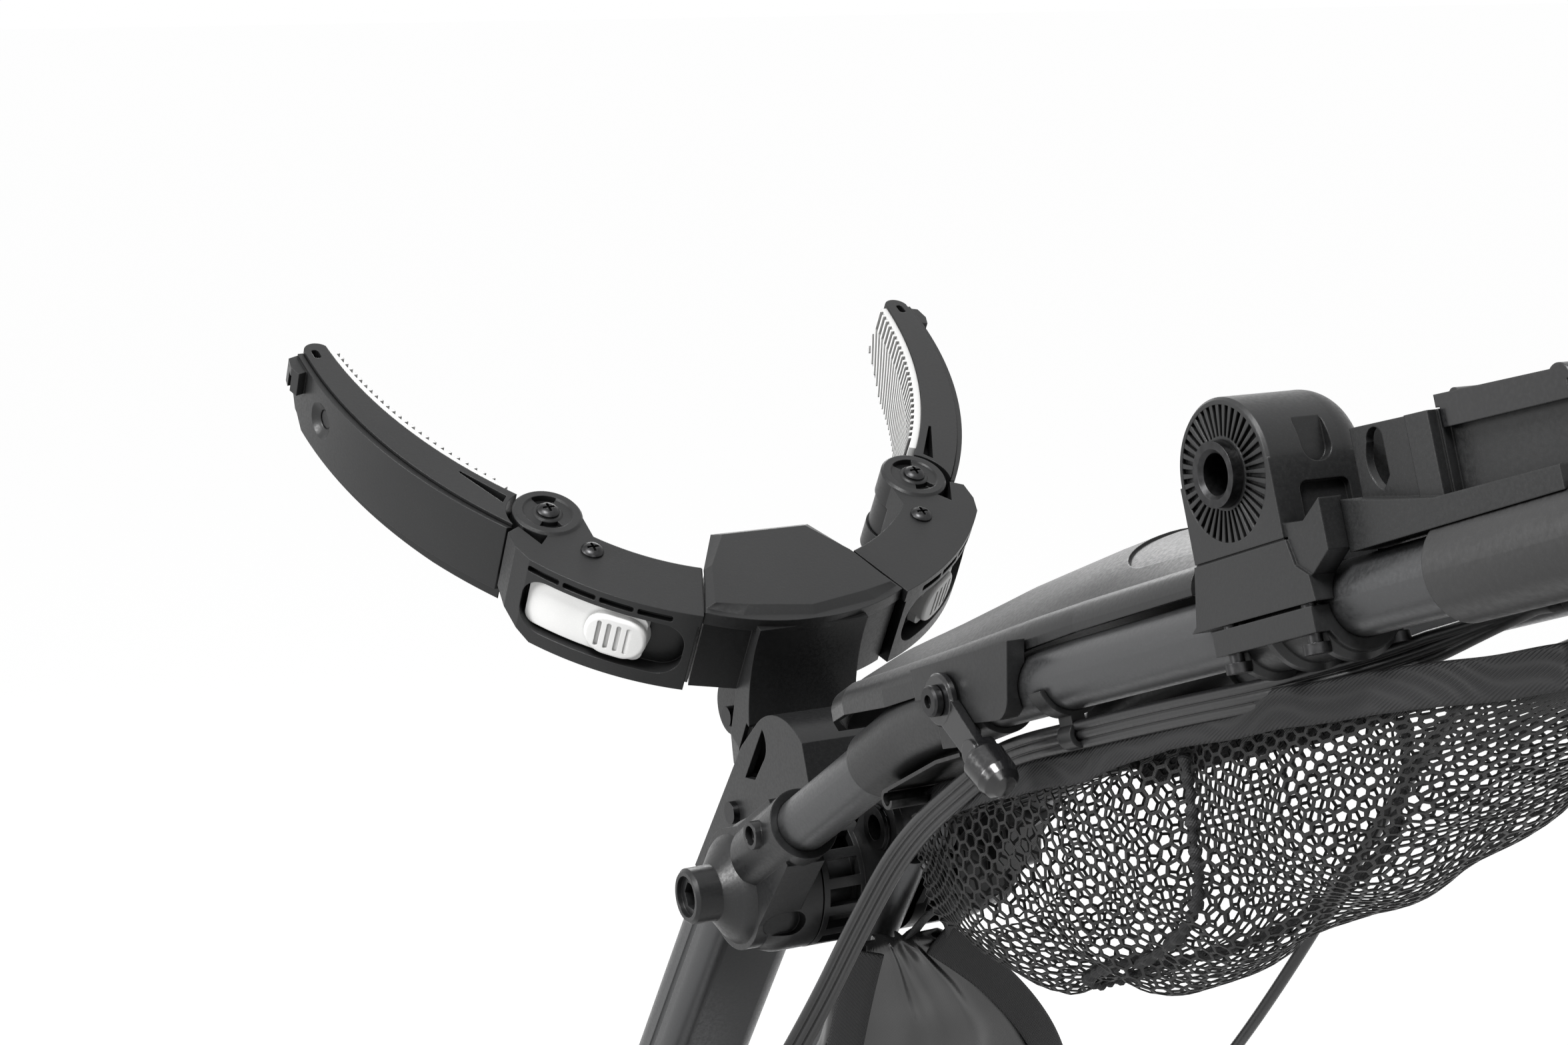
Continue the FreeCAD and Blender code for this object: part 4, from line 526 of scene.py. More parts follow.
def spline_points(points: Sequence[Vector], steps: int = 10) -> list[Vector]:
    """Follow the smooth NURBS line that has these control points.

    Args:
        points: Control points, in metres.
        steps: Line steps between two of them.

    Returns:
        The points along the line.
    """
    curve = bpy.data.curves.new("route", "CURVE")
    curve.dimensions = "3D"
    curve.resolution_u = steps
    spline = curve.splines.new("NURBS")
    spline.points.add(len(points) - 1)
    for control, point in zip(spline.points, points):
        control.co = (*point, 1.0)
    spline.order_u = 3
    spline.use_endpoint_u = True
    holder = placed("route", curve)
    line = bpy.data.meshes.new_from_object(holder.evaluated_get(bpy.context.evaluated_depsgraph_get()))
    followed = [vertex.co.copy() for vertex in line.vertices]
    bpy.data.objects.remove(holder)
    bpy.data.meshes.remove(line)
    bpy.data.curves.remove(curve)
    return followed


def heading(line: Sequence[Vector], index: int) -> Vector:
    """Way that a line runs at one of its points."""
    return (line[min(index + 1, len(line) - 1)] - line[max(index - 1, 0)]).normalized()


def swept(name: str, line: Sequence[Vector], section: Callable[[float], float], sides: int) -> bpy.types.Object:
    """Sweep a round section along a line.

    Args:
        name: The piece's name.
        line: Points of the line.
        section: Radius by share of the way along.
        sides: Points round the section.

    Returns:
        The tube, closed at both ends.
    """
    rings: list[list[Vector]] = []
    side = (line[1] - line[0]).orthogonal().normalized()
    for index, point in enumerate(line):
        ahead = heading(line, index)
        side = (side - ahead * side.dot(ahead)).normalized()
        other = ahead.cross(side)
        radius = section(index / (len(line) - 1))
        rings.append([point + side * (radius * math.cos(turn)) + other * (radius * math.sin(turn))
                      for turn in (2.0 * math.pi * step / sides for step in range(sides))])
    return linked(name, joined_rings(bmesh.new(), rings))


# ---------------- cables

@dataclass(frozen=True)
class Run:
    """A stretch of a cable's route, in the millimetres of one datum."""

    datum: Datum
    points: tuple[tuple[float, float, float], ...]

    def metres(self) -> list[Vector]:
        """Give the stretch's points in metres."""
        return [self.datum.at(*point) for point in self.points]


@dataclass(frozen=True)
class BrakeCable:
    """One Bowden cable: its ribbed sheath from the lever to the yoke, with a ferrule at each end."""

    name: str
    route: tuple[Run, ...]
    ribs: int = 1
    radius: float = 2.5 * MM
    ferrule: float = 3.3 * MM
    pitch: float = 3.5 * MM
    ferrule_length: float = 14.0 * MM
    step_length: float = 2.0 * MM
    spread_from: float = 16.0 * MM
    spread_over: float = 50.0 * MM
    facing: tuple[float, float, float] = (-0.45, -0.87, 0.2)

    def build(self, wardrobe: Wardrobe) -> bpy.types.Object:
        """Sweep the sheath and dress it.

        Args:
            wardrobe: Where its finish comes from.

        Returns:
            The cable.
        """
        line = spline_points([point for run in self.route for point in run.metres()])
        total = sum((after - before).length for before, after in zip(line, line[1:]))
        ferrule_share, slope = self.ferrule_length / total, self.step_length / total

        def radius(share: float) -> float:
            """Radius at a share of the length: stout at both ends."""
            near = min(share, 1.0 - share)
            if near < ferrule_share:
                return self.ferrule
            return self.radius + (self.ferrule - self.radius) * max(0.0, 1.0 - (near - ferrule_share) / slope)

        def rib(offset: float) -> list[Vector]:
            """Line of one rib, which leaves the middle behind the ferrule."""
            last, moved = len(line) - 1, []
            for index, point in enumerate(line):
                near = min(index, last - index) / last * total
                spread = min(1.0, max(0.0, (near - self.spread_from) / self.spread_over))
                aside = heading(line, index).cross(Vector(self.facing)).normalized()
                moved.append(point + aside * offset * spread)
            return moved

        whole = bmesh.new()
        for number in range(self.ribs):
            part = swept("rib", rib(self.pitch * (number - (self.ribs - 1) / 2.0)), radius, 12)
            whole.from_mesh(part.data)
            bpy.data.meshes.remove(part.data)
        piece = linked(self.name, whole)
        wardrobe.wear(piece, Finish.cable_black)
        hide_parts(self.name)
        tuple(HANDLE.at(0, -60, -22))
        tuple(SPINE.at(0, -150, 30))
        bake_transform(piece)
        return piece


CABLES = (
    BrakeCable("brake_cable_left", (
        Run(HANDLE, ((-21, -390, -13), (-21, -370, -13), (-42, -330, -21), (-56, -282, -23), (-58.5, -225, -22),
                     (-60, -172, -22), (-60, -108, -22), (-60, -84, -28.5))),
        Run(TROLLEY, ((-61, -252, -75), (-63, -215, -125), (-66, -185, -172), (-80, -163, -220))),
        Run(SPINE, ((-93, -178, 70), (-96, -165, 10), (-96, -142, -48), (-88, -104, -98), (-66, -62, -128),
                    (-52, -44, -148), (-52, -44, -168.4)))), ribs=3, radius=2.1 * MM),
    BrakeCable("brake_cable_right", (
        Run(HANDLE, ((21, -390, -13), (21, -370, -13), (44, -332, -21), (62, -288, -24))),
        Run(TROLLEY, ((71, -446, 26), (72, -408, -24), (69, -374, -78), (64, -342, -132), (66, -303, -182),
                      (76, -255, -225), (89, -205, -262))),
        Run(SPINE, ((138, -206, 52), (150, -176, 0), (142, -136, -50), (110, -96, -96), (70, -62, -126),
                    (52, -44, -148), (52, -44, -168.4))))),
)


# ---------------- mesh bag

@dataclass
class Fitter:
    """Dresses pieces and sets them on the body that they hang on."""

    wardrobe: Wardrobe
    body: str

    def settled(self, piece: bpy.types.Object, finish: Finish) -> bpy.types.Object:
        """Dress a piece and set it on the body.

        Args:
            piece: The piece.
            finish: The finish it gets.

        Returns:
            The same piece.
        """
        self.wardrobe.wear(piece, finish)
        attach(piece, self.body)
        return piece

    def fitted(self, name: str, mesh: bmesh.types.BMesh, finish: Finish, smooth: bool = True) -> bpy.types.Object:
        """Store a finished bmesh as a piece that is dressed and on the body."""
        return self.settled(linked(name, mesh, smooth), finish)


def ribbon(line: Sequence[Vector], faces_to: Sequence[Vector], width: float, thick: float) -> bmesh.types.BMesh:
    """Sweep a flat tape with soft edges along a line.

    Args:
        line: Points of the tape's middle.
        faces_to: The way that the tape's face looks at each point.
        width: Its width.
        thick: Its thickness.

    Returns:
        The tape, closed at both ends.
    """
    profile = [(-0.5, -0.2), (-0.42, -0.5), (-0.2, -0.55), (0.0, -0.57), (0.2, -0.55), (0.42, -0.5), (0.5, -0.2),
               (0.5, 0.2), (0.42, 0.5), (0.2, 0.55), (0.0, 0.57), (-0.2, 0.55), (-0.42, 0.5), (-0.5, 0.2)]
    rings = []
    for index, (point, looks) in enumerate(zip(line, faces_to)):
        ahead = heading(line, index)
        out = (looks - ahead * looks.dot(ahead)).normalized()
        side = ahead.cross(out)
        rings.append([point + side * (width * across) + out * (thick * up) for across, up in profile])
    return joined_rings(bmesh.new(), rings)


@dataclass(frozen=True)
class Honeycomb:
    """Knitted mesh cloth: six-sided holes with a round strand between each two."""

    cell: float = 7.4
    strand: float = 1.3
    thick: float = 0.6 * MM

    def sheet(self, length: float, girth: float, place: Callable[[float, float], Vector | None]) -> bmesh.types.BMesh:
        """Lay the cloth over a surface.

        Args:
            length: How far the flat cloth goes one way, in millimetres.
            girth: How far it goes the other way.
            place: Turns a flat place into a point, or None where the cloth is cut away.

        Returns:
            The cloth, with its holes cut and its strands as thick as they are.
        """
        mesh = bmesh.new()
        made: dict[tuple[int, int], bmesh.types.BMVert | None] = {}
        step_along, step_round = self.cell * 0.75 / math.cos(math.pi / 6), self.cell
        side = self.cell / 2.0 / math.cos(math.pi / 6)

        def corner(along: float, round_: float) -> bmesh.types.BMVert | None:
            """Vertex at a flat place, shared by the cells that meet there."""
            key = (round(along * 20), round(round_ * 20))
            if key not in made:
                point = place(along, round_)
                made[key] = mesh.verts.new(point) if point is not None else None
            return made[key]

        for column in range(int(length / step_along) + 1):
            for row in range(int(girth / step_round) + 1):
                middle = (column * step_along, (row + 0.5 * (column % 2)) * step_round)
                ring = [corner(middle[0] + side * math.cos(turn), middle[1] + side * math.sin(turn))
                        for turn in (math.pi / 3 * count for count in range(6))]
                if all(ring):
                    mesh.faces.new(ring)
        cells = list(mesh.faces)
        mesh.normal_update()
        bmesh.ops.inset_individual(mesh, faces=cells, thickness=self.strand / 2.0 * MM, use_even_offset=True)
        bmesh.ops.delete(mesh, geom=cells, context="FACES")
        bmesh.ops.recalc_face_normals(mesh, faces=mesh.faces)
        mesh.normal_update()
        bmesh.ops.solidify(mesh, geom=list(mesh.faces), thickness=self.thick)
        return mesh


@dataclass(frozen=True)
class Hoop:
    """One cross-section of the mesh bag, in the handle's millimetres."""

    back: float
    half: float
    top: float
    bottom: float


def between(rows: Sequence, place: float) -> "Hoop | Slice":
    """Cross-section at any place, in a straight line between the given ones.

    Args:
        rows: The given cross-sections; the first field of each is its place, and they rise in it.
        place: Where the cross-section is wanted.

    Returns:
        The cross-section, or the nearest given one where the place is past both ends.
    """
    place = min(max(place, astuple(rows[0])[0]), astuple(rows[-1])[0])
    for low, high in zip(map(astuple, rows), map(astuple, rows[1:])):
        if place <= high[0]:
            share = (place - low[0]) / (high[0] - low[0])
            return type(rows[0])(*(start + (end - start) * share for start, end in zip(low, high)))
    return rows[-1]


class MeshBag(Fitter):
    """Open bag of black mesh that hangs between the side tubes, bound along its rim and its front seam."""

    HOOPS = (Hoop(-20, 40, -42, -95), Hoop(10, 49, -36, -112), Hoop(45, 55, -32, -127), Hoop(120, 56, -30, -127),
             Hoop(190, 56, -30, -117), Hoop(251, 56, -31, -101), Hoop(330, 56, -33, -78), Hoop(420, 52, -38, -52))
    HALF, DEEP = 56.0, 95.0
    FINE, EVEN = 900, 120
    GIRTH = 262.0
    LENGTH, REACH = 440.0, 421.0
    FRONT = (102.0, 104.0)
    LIP = 47.0
    RAIL_HALF, RAIL_BACK, RAIL_TOP = 50.0, 26.0, -34.0
    MOUTH, MOUTH_RUN = 430.0, 120.0
    TUCK, TUCK_REACH = 5.0, 16.0
    TAPE = (14.0 * MM, 1.8 * MM)
    TAPE_STEP, TAPE_STEPS, TAPE_LIFT = 4.7, 85, 6.5
    MOUNT, MOUNT_RUN, MOUNT_DIP = 214.0, 60.0, 5.0
    SEAM = ((212, 0.03), (211, 0.10), (204, 0.18), (194, 0.27), (168, 0.33), (132, 0.36), (90, 0.38), (62, 0.42),
            (54, 0.5))

    def __init__(self, wardrobe: Wardrobe) -> None:
        """Measure the section once, so that the cloth lies evenly round it."""
        super().__init__(wardrobe, "handle")
        self._shares = self._even_shares()

    @staticmethod
    def _bow(turn: float) -> tuple[float, float]:
        """Unit section at an angle from the left rim round to the right one."""
        across, down = math.cos(turn), math.sin(turn)
        return -math.copysign(abs(across) ** 0.8, across), max(down, 0.0) ** 0.72

    def _even_shares(self) -> list[float]:
        """Angles that divide the section into equal lengths."""
        turns = [math.pi * step / self.FINE for step in range(self.FINE + 1)]
        spots = [Vector((self.HALF * across, self.DEEP * down)) for across, down in map(self._bow, turns)]
        lengths = [0.0]
        for low, high in zip(spots, spots[1:]):
            lengths.append(lengths[-1] + (high - low).length)
        found, index = [], 0
        for step in range(self.EVEN + 1):
            while index < self.FINE and lengths[index] < lengths[-1] * step / self.EVEN - 1e-9:
                index += 1
            found.append(turns[index])
        return found

    def turn(self, share: float) -> float:
        """Angle at a share of the way round."""
        spot = min(max(share, 0.0), 1.0) * (len(self._shares) - 1)
        low = min(int(spot), len(self._shares) - 2)
        return self._shares[low] + (self._shares[low + 1] - self._shares[low]) * (spot - low)

    def _slack(self, back: float, share: float) -> float:
        """How far the cloth stands out from the plain bag: drapes, and a tuck along the seam.

        Args:
            back: Millimetres back from the elbow.
            share: 0 at the left rim, 1 at the right one.

        Returns:
            Millimetres outside the plain bag, or inside where it is below 0.
        """
        loose = max(0.0, math.sin(math.pi * share)) ** 0.6 * min(1.0, (self.MOUTH - back) / self.MOUTH_RUN)
        drape = 1.5 * math.sin(back / 23.0 + 5.0 * share) + 1.1 * math.sin(back / 11.5 - 9.0 * share + 1.3)
        ripple = 6.5 * noise.noise(Vector((back * 0.024, share * 5.0, 1.7)))
        half_way = min(share, 1.0 - share)
        near = min(math.hypot(back - seam_back, (half_way - seam_share) * self.GIRTH)
                   for seam_back, seam_share in self.SEAM)
        return loose * (drape + ripple) - self.TUCK * math.exp(-(near / self.TUCK_REACH) ** 2)

    def point(self, back: float, share: float, proud: float = 0.0) -> Vector:
        """Point of the bag.

        Args:
            back: Millimetres back from the elbow.
            share: 0 at the left rim, 1 at the right one.
            proud: Millimetres outside the cloth.

        Returns:
            The point in metres.
        """
        hoop = between(self.HOOPS, back)
        across, down = self._bow(self.turn(share))
        out = self._slack(back, share) + proud
        length = math.hypot(across, down)
        return HANDLE.at((hoop.half - 2.0) * across + out * across / length, -back,
                         hoop.top - (hoop.top - hoop.bottom - 3.0) * down - out * down / length)

    def _side_place(self, low: float, high: float) -> Callable[[float, float], Vector | None]:
        """Surface of the bag between two shares of the way round.

        Args:
            low: The share where it begins.
            high: The share where it ends.

        Returns:
            What turns a flat place into a point of it.
        """
        def place(along: float, round_: float) -> Vector | None:
            """Flat place to a point of the bag."""
            back, share = self.HOOPS[0].back + along, low + round_ / self.GIRTH
            return self.point(back, share) if back <= self.REACH and low <= share + 1e-6 <= high + 0.012 else None
        return place

    def _front_place(self, along: float, round_: float) -> Vector | None:
        """Front of the bag: from the rail forward and down, inside the first hoop.

        Args:
            along: Millimetres of cloth from the rail.
            round_: Millimetres of cloth from its left side.

        Returns:
            The point in metres, or None beside the bag.
        """
        first = self.HOOPS[0]
        across, path = round_ - self.FRONT[1] / 2.0, along
        if path < self.LIP:
            share = path / self.LIP
            half = self.RAIL_HALF + (first.half - self.RAIL_HALF) * share
            back = self.RAIL_BACK + (first.back - self.RAIL_BACK) * share
            up = self.RAIL_TOP + (first.top - self.RAIL_TOP) * share + 2.0 * math.sin(math.pi * share)
        else:
            up = first.top - (path - self.LIP)
            down = min(1.0, (path - self.LIP) / (first.top - first.bottom))
            half = first.half * max(0.0, 1.0 - down ** 2.4) ** 0.5
            back = first.back
        if abs(across) > half + 2.0 or up < first.bottom:
            return None
        swell = 3.0 * (1.0 - (across / 42.0) ** 2) + 3.0 * noise.noise(Vector((across * 0.05, path * 0.05, 4.0)))
        return HANDLE.at(across, -back + min(swell, 3.0) - 2.5, up)

    def build(self) -> list[bpy.types.Object]:
        """Make the two halves of the bag, its front, its seam and its binding.

        Returns:
            The pieces.
        """
        cloth = Honeycomb()
        sheets = []
        for name, low, high in (("net_left", 0.0, 0.5), ("net_right", 0.5, 1.0)):
            mesh = cloth.sheet(self.LENGTH, self.GIRTH * 0.5, self._side_place(low, high))
            sheets.append(self.fitted(name, mesh, Finish.net_black, smooth=False))
        front = cloth.sheet(*self.FRONT, self._front_place)
        sheets.append(self.fitted("net_front", front, Finish.net_black, smooth=False))
        trims = [self._seam(), self._mouth_cord()]
        trims += [self._binding("net_binding_left", -1.0), self._binding("net_binding_right", 1.0)]
        for sheet, flat in zip(sheets, ((0.131, 0.44), (0.131, 0.44), (0.09, 0.09))):
            0.5 * flat[0] * flat[1]
        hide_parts("net")
        for piece in sheets + trims:
            tuple(HANDLE.way(0, 0, 1))
            tuple(HANDLE.at(0, -200, -30))
            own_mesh(piece)
        return sheets + trims

    def _seam(self) -> bpy.types.Object:
        """Gathered seam that joins the bag's front to its sides."""
        marks = list(self.SEAM) + [(back, 1.0 - share) for back, share in reversed(self.SEAM[:-1])]
        line = spline_points([self.point(back, share, 1.0) for back, share in marks], 16)
        last = len(line) - 1
        piece = swept("net_seam", line, lambda share: (
            2.1 + 0.7 * math.sin(share * last * 1.35) + 0.5 * math.sin(share * last * 0.43)) * MM, 10)
        return self.settled(piece, Finish.binding_black)

    def _mouth_cord(self) -> bpy.types.Object:
        """Cord in the hem of the bag's rim, round its rear end."""
        marks = [self.point(405.0, 0.0), self.point(418.0, 0.04)]
        marks += [self.point(420.0, 0.1 + 0.1 * step) for step in range(9)]
        marks += [self.point(418.0, 0.96), self.point(405.0, 1.0)]
        piece = swept("net_mouth", spline_points(marks, 8), lambda share: 2.4 * MM, 10)
        return self.settled(piece, Finish.binding_black)

    def _binding(self, name: str, side: float) -> bpy.types.Object:
        """Woven tape along one side of the rim, which dips towards the rail in front of the mount.

        Args:
            name: The piece's name.
            side: -1 for the left rim, 1 for the right one.

        Returns:
            The tape.
        """
        line, looks = [], []
        for step in range(self.TAPE_STEPS):
            back = self.RAIL_BACK + step * self.TAPE_STEP
            hoop = between(self.HOOPS, back)
            lift = self.TAPE_LIFT - self.MOUNT_DIP * min(1.0, max(0.0, (self.MOUNT - back) / self.MOUNT_RUN))
            sway = 1.2 * noise.noise(Vector((back * 0.03, side, 0.0)))
            line.append(HANDLE.at(side * (hoop.half + 0.4 + sway), -back, hoop.top + lift - 3.5 + sway))
            looks.append(HANDLE.way(side, 0.0, 0.12))
        return self.fitted(name, ribbon(line, looks, *self.TAPE), Finish.binding_black)


# ---------------- pouch

@dataclass(frozen=True)
class Slice:
    """One level cross-section of the pouch, in the main tube's millimetres."""

    up: float
    left: float
    right: float
    back: float
    front: float

    def spot(self, turn: float, wide: float, deep: float) -> Vector:
        """Point of the outline, in metres.

        Args:
            turn: Angle round it from the right.
            wide: Millimetres that it stands out sideways.
            deep: Millimetres that it stands out to the front and back.
        """
        across, along = math.cos(turn), math.sin(turn)
        return SPINE.at((self.left + self.right) / 2.0
                        + ((self.right - self.left) / 2.0 + wide) * math.copysign(abs(across) ** 0.8, across),
                        (self.back + self.front) / 2.0
                        + ((self.front - self.back) / 2.0 + deep) * math.copysign(abs(along) ** 0.7, along), self.up)


class Pouch(Fitter):
    """Coated cloth pouch that hangs behind the stay from a gathered neck, edged with webbing."""

    SLICES = (Slice(-130, -38, 96, -158, -114), Slice(-85, -41, 109, -166, -113), Slice(-40, -42, 118, -171, -112),
              Slice(28, -40, 126, -167, -112), Slice(62, -39, 116, -161, -112), Slice(92, -37, 100, -153, -111),
              Slice(120, -34, 78, -143, -111), Slice(140, -31, 55, -135, -111), Slice(156, -28, 34, -129, -111),
              Slice(168, -26, 16, -126, -111))
    ROWS, ROUND = 78, 96
    FOOT, NECK = -127.0, 166.0
    SHRUNK, SWELL = (-3.5, -3.0), 7.0 * MM
    FLATNESS = 2.2
    TAPE, TAB_TAPE = (17.0 * MM, 1.8 * MM), (12.0 * MM, 1.6 * MM)
    TAPE_TURN, TAPE_PROUD = 0.62, 1.6
    EDGE_MARKS = (168.0, 150.0, 132.0, 110.0, 88.0, 60.0, 28.0, -10.0, -50.0, -90.0, -128.0)
    STITCH, THREAD = 4.0, 0.42 * MM
    LOOSE = (-122.0, 150.0)
    AIR_FRAMES = 18
    CLOTH = {"quality": 6, "mass": 0.25, "tension_stiffness": 18.0, "compression_stiffness": 18.0,
             "bending_stiffness": 1.2, "use_pressure": True, "uniform_pressure_force": 3.0,
             "vertex_group_mass": "pins"}

    def __init__(self, wardrobe: Wardrobe) -> None:
        """Hang on the frame."""
        super().__init__(wardrobe, "frame")

    def _pleat(self, up: float, turn: float) -> float:
        """Depth of the folds that fall from the neck and crease the belly.

        Args:
            up: Height, in the main tube's millimetres.
            turn: Angle round the pouch.

        Returns:
            Millimetres outwards.
        """
        neck = max(0.0, (up - 40.0) / 128.0)
        falls = neck ** 1.4 * 3.4 * math.sin(turn * 9.0 + 1.2 * math.sin(up / 26.0))
        creases = 2.6 * noise.noise(Vector((up * 0.022, turn * 1.7, 3.1)))
        cross = 1.6 * noise.noise(Vector((up * 0.06, turn * 0.9, 8.4)))
        return falls + creases + cross

    def _shell(self) -> bmesh.types.BMesh:
        """Closed bag, a little smaller than it hangs once it is filled."""
        rings = []
        for row in range(self.ROWS + 1):
            up = self.FOOT + (self.NECK - self.FOOT) * row / self.ROWS
            cut = between(self.SLICES, up)
            rings.append([cut.spot(2.0 * math.pi * step / self.ROUND, *self.SHRUNK) for step in range(self.ROUND)])
        mesh = joined_rings(bmesh.new(), rings)
        bmesh.ops.triangulate(mesh, faces=[face for face in mesh.faces if len(face.verts) > 4])
        bmesh.ops.recalc_face_normals(mesh, faces=mesh.faces)
        return mesh

    def _filled(self, piece: bpy.types.Object) -> None:
        """Let air pressure plump the cloth, then keep how it stands.

        Args:
            piece: The closed bag; its mesh is changed.
        """
        start = [vertex.co.copy() for vertex in piece.data.vertices]
        pins = piece.vertex_groups.new(name="pins")
        held = [vertex.index for vertex in piece.data.vertices
                if not self.LOOSE[0] <= self._local(vertex.co).z <= self.LOOSE[1]]
        pins.add(held, 1.0, "REPLACE")
        cloth = piece.modifiers.new("cloth", "CLOTH")
        for key, value in self.CLOTH.items():
            setattr(cloth.settings, key, value)
        cloth.settings.effector_weights.gravity = 0.0
        cloth.point_cache.frame_end = self.AIR_FRAMES + 2
        for step in range(1, self.AIR_FRAMES + 1):
            bpy.context.scene.frame_set(step)
        posed = piece.evaluated_get(bpy.context.evaluated_depsgraph_get()).to_mesh()
        moved = [vertex.co.copy() for vertex in posed.vertices]
        piece.modifiers.remove(cloth)
        piece.vertex_groups.remove(pins)
        bpy.context.scene.frame_set(1)
        for vertex, before, after in zip(piece.data.vertices, start, moved):
            shift = after - before
            vertex.co = before + shift * min(1.0, self.SWELL / max(shift.length, 1e-9))

    @staticmethod
    def _local(point: Vector) -> Vector:
        """A point in the main tube's millimetres."""
        return Matrix.Rotation(-SPINE.lean, 3, "X") @ (point / MM - Vector(SPINE.origin))

    def _creased(self, piece: bpy.types.Object) -> None:
        """Fold the cloth: falls from the neck, and long creases over the belly.

        Args:
            piece: The pouch; its mesh is changed.
        """
        for vertex in piece.data.vertices:
            local = self._local(vertex.co)
            cut = between(self.SLICES, local.z)
            out = Vector((local.x - (cut.left + cut.right) / 2.0, local.y - (cut.back + cut.front) / 2.0, 0.0))
            if out.length > 1e-6:
                turn = math.atan2(out.y * self.FLATNESS, out.x)
                shift = out.normalized() * self._pleat(local.z, turn) * MM
                vertex.co += Matrix.Rotation(SPINE.lean, 3, "X") @ shift
        piece.data.update()

    def _edge(self, up: float, side: float) -> Vector:
        """Middle of the tape at one edge, a little round on the side that faces back.

        Args:
            up: Height, in the main tube's millimetres.
            side: -1 for the left edge, 1 for the right one.

        Returns:
            The point in metres.
        """
        turn = -self.TAPE_TURN if side > 0 else math.pi + self.TAPE_TURN
        return between(self.SLICES, up).spot(turn, self.TAPE_PROUD, self.TAPE_PROUD)

    def _webbing(self, name: str, side: float) -> bpy.types.Object:
        """Webbing along one edge of the pouch, from its neck down.

        Args:
            name: The piece's name.
            side: -1 for the left edge, 1 for the right one.

        Returns:
            The webbing.
        """
        line = spline_points([self._edge(up, side) for up in self.EDGE_MARKS], 9)
        looks = [SPINE.way(side * 0.45, -1.0, 0.0)] * len(line)
        return self.fitted(name, ribbon(line, looks, *self.TAPE), Finish.webbing_black)

    def _tab(self) -> bpy.types.Object:
        """Loop of webbing that ties the neck to the stay."""
        line = spline_points([SPINE.at(*point) for point in (
            (20, -121, 148), (24, -123, 160), (22, -122, 176), (16, -119, 184), (8, -117, 178), (4, -118, 164))], 8)
        looks = [SPINE.way(0.5, -1.0, 0.1)] * len(line)
        return self.fitted("pouch_tab", ribbon(line, looks, *self.TAB_TAPE), Finish.webbing_black)

    def _stitches(self) -> bpy.types.Object:
        """Thread laid in short stitches, two rows down each edge."""
        mesh = bmesh.new()
        cuts = [between(self.SLICES, 160.0 - self.STITCH * step) for step in range(70)]
        rows = [[SPINE.at(cut.left + inset if side < 0 else cut.right - inset,
                          cut.back + (cut.front - cut.back) * 0.45 - 1.5, cut.up) for cut in cuts]
                for side in (-1.0, 1.0) for inset in (3.6, 8.0)]
        for row in rows:
            for first, last in zip(row, row[1:]):
                along = last - first
                made = bmesh.ops.create_cone(mesh, cap_ends=True, segments=6, radius1=self.THREAD,
                                             radius2=self.THREAD, depth=along.length * 0.66)
                turn = along.to_track_quat("Z", "Y").to_matrix().to_4x4()
                bmesh.ops.transform(mesh, matrix=Matrix.Translation((first + last) / 2.0) @ turn, verts=made["verts"])
        return self.fitted("pouch_stitches", mesh, Finish.webbing_black)

    def build(self) -> list[bpy.types.Object]:
        """Make the pouch, its webbing, its loop and its stitches.

        Returns:
            The pieces.
        """
        body = self.fitted("pouch_body", self._shell(), Finish.pouch_black)
        self._filled(body)
        self._creased(body)
        body.modifiers.new("smooth", "SUBSURF").levels = 1
        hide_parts("pouch")
        trims = [self._webbing("pouch_webbing_left", -1.0), self._webbing("pouch_webbing_right", 1.0), self._tab(),
                 self._stitches()]
        for piece in [body] + trims:
            tuple(SPINE.way(0, 1, 0))
            tuple(SPINE.at(0, -111, 0))
            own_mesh(piece)
        return [body] + trims


# ---------------- painted seam shade

# How far the middle of the cradle's ring is in front of the cradle's centre.
RING_CENTRE = 86.0


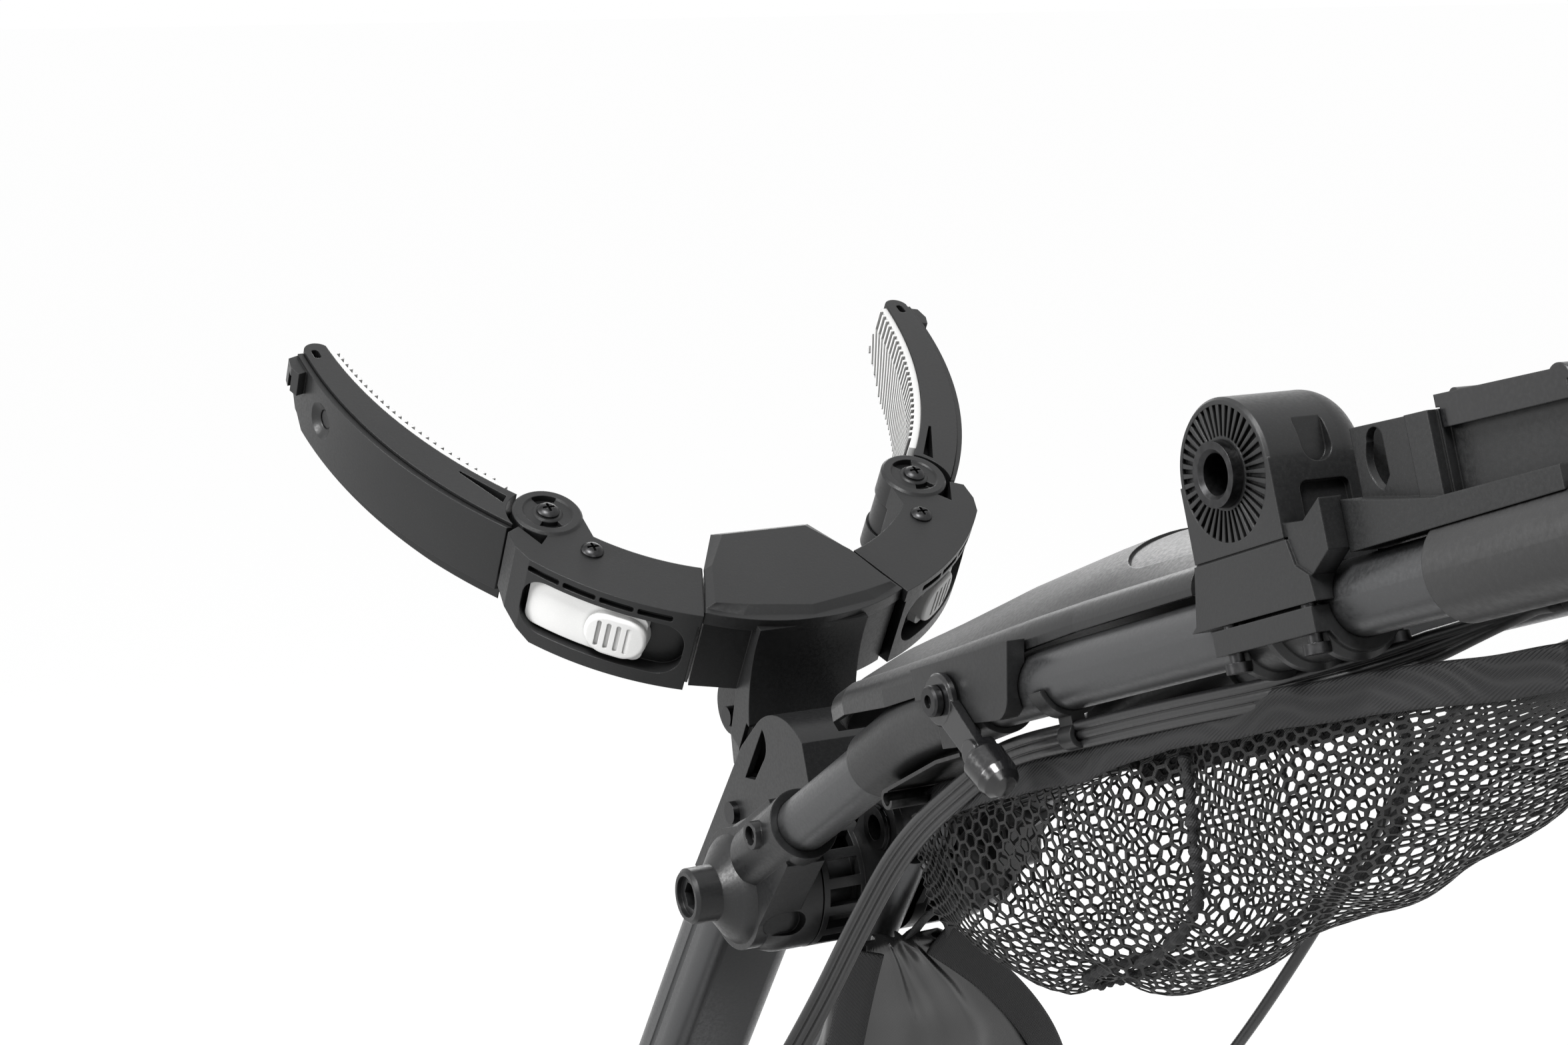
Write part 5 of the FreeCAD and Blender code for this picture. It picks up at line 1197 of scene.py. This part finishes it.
@dataclass(frozen=True)
class ShadeFiller:
    """Dark filler in the gap of the joint between the cradle's middle and a shoulder, painted shade for the seam, in
    millimetres and degrees.
    """

    angle: float
    radii: tuple[float, float]
    heights: tuple[float, float]
    thick: float

    def add(self, mesh: bmesh.types.BMesh, side: float) -> None:
        """Add the dark filler of one side.

        Args:
            mesh: Where it is added.
            side: -1 for the left, 1 for the right.
        """
        turn = math.radians(self.angle)
        middle, length = sum(self.radii) / 2.0, self.radii[1] - self.radii[0]
        place = CRADLE.at(side * middle * math.sin(turn), RING_CENTRE - middle * math.cos(turn),
                          sum(self.heights) / 2.0)
        size = (self.thick, length, self.heights[1] - self.heights[0])
        turned = Matrix.Rotation(CRADLE.lean, 4, "X") @ Matrix.Rotation(side * turn, 4, "Z")
        bmesh.ops.create_cube(mesh, size=1.0, matrix=Matrix.Translation(place) @ turned @ Matrix.Diagonal(
            (*(span * MM for span in size), 1.0)))


# Dark fillers in the gaps of the cradle's joints: painted shade for its seams.
SHADE_FILLERS = (ShadeFiller(21.5, (117.0, 147.0), (-46.0, -7.4), 2.0), ShadeFiller(21.35, (114.0, 147.5), (-7.6, -1.2), 0.7))


def fill_seam_shade(wardrobe: Wardrobe) -> bpy.types.Object:
    """Fill both joints of the cradle's back with dark filler for painted seam shade, as one piece.

    Args:
        wardrobe: Where its finish comes from.

    Returns:
        The piece.
    """
    mesh = bmesh.new()
    for filler in SHADE_FILLERS:
        for side in (-1.0, 1.0):
            filler.add(mesh, side)
    return Fitter(wardrobe, "frame").fitted("cradle_gaskets", mesh, Finish.moulded_black, smooth=False)


# ---------------- whole

class Trolley:
    """Dresses the construction and adds the pieces that only the looks need."""

    def __init__(self) -> None:
        """Start with an empty wardrobe."""
        self.wardrobe = Wardrobe()

    def build(self) -> None:
        """Dress every node, then add the soft pieces."""
        self.wardrobe.dress_frame()
        LOG.info("dressed %d nodes", len(frame["nodes"]))
        for cable in CABLES:
            cable.build(self.wardrobe)
            LOG.info("laid %s", cable.name)
        fill_seam_shade(self.wardrobe)
        LOG.info("hung the bag in %d pieces", len(MeshBag(self.wardrobe).build()))
        LOG.info("hung the pouch in %d pieces", len(Pouch(self.wardrobe).build()))


def main() -> None:
    """Build the studio and the trolley."""
    logging.basicConfig(level=logging.INFO, format="%(name)s: %(message)s")
    Studio().build()
    Trolley().build()


if __name__ == "__main__":
    main()
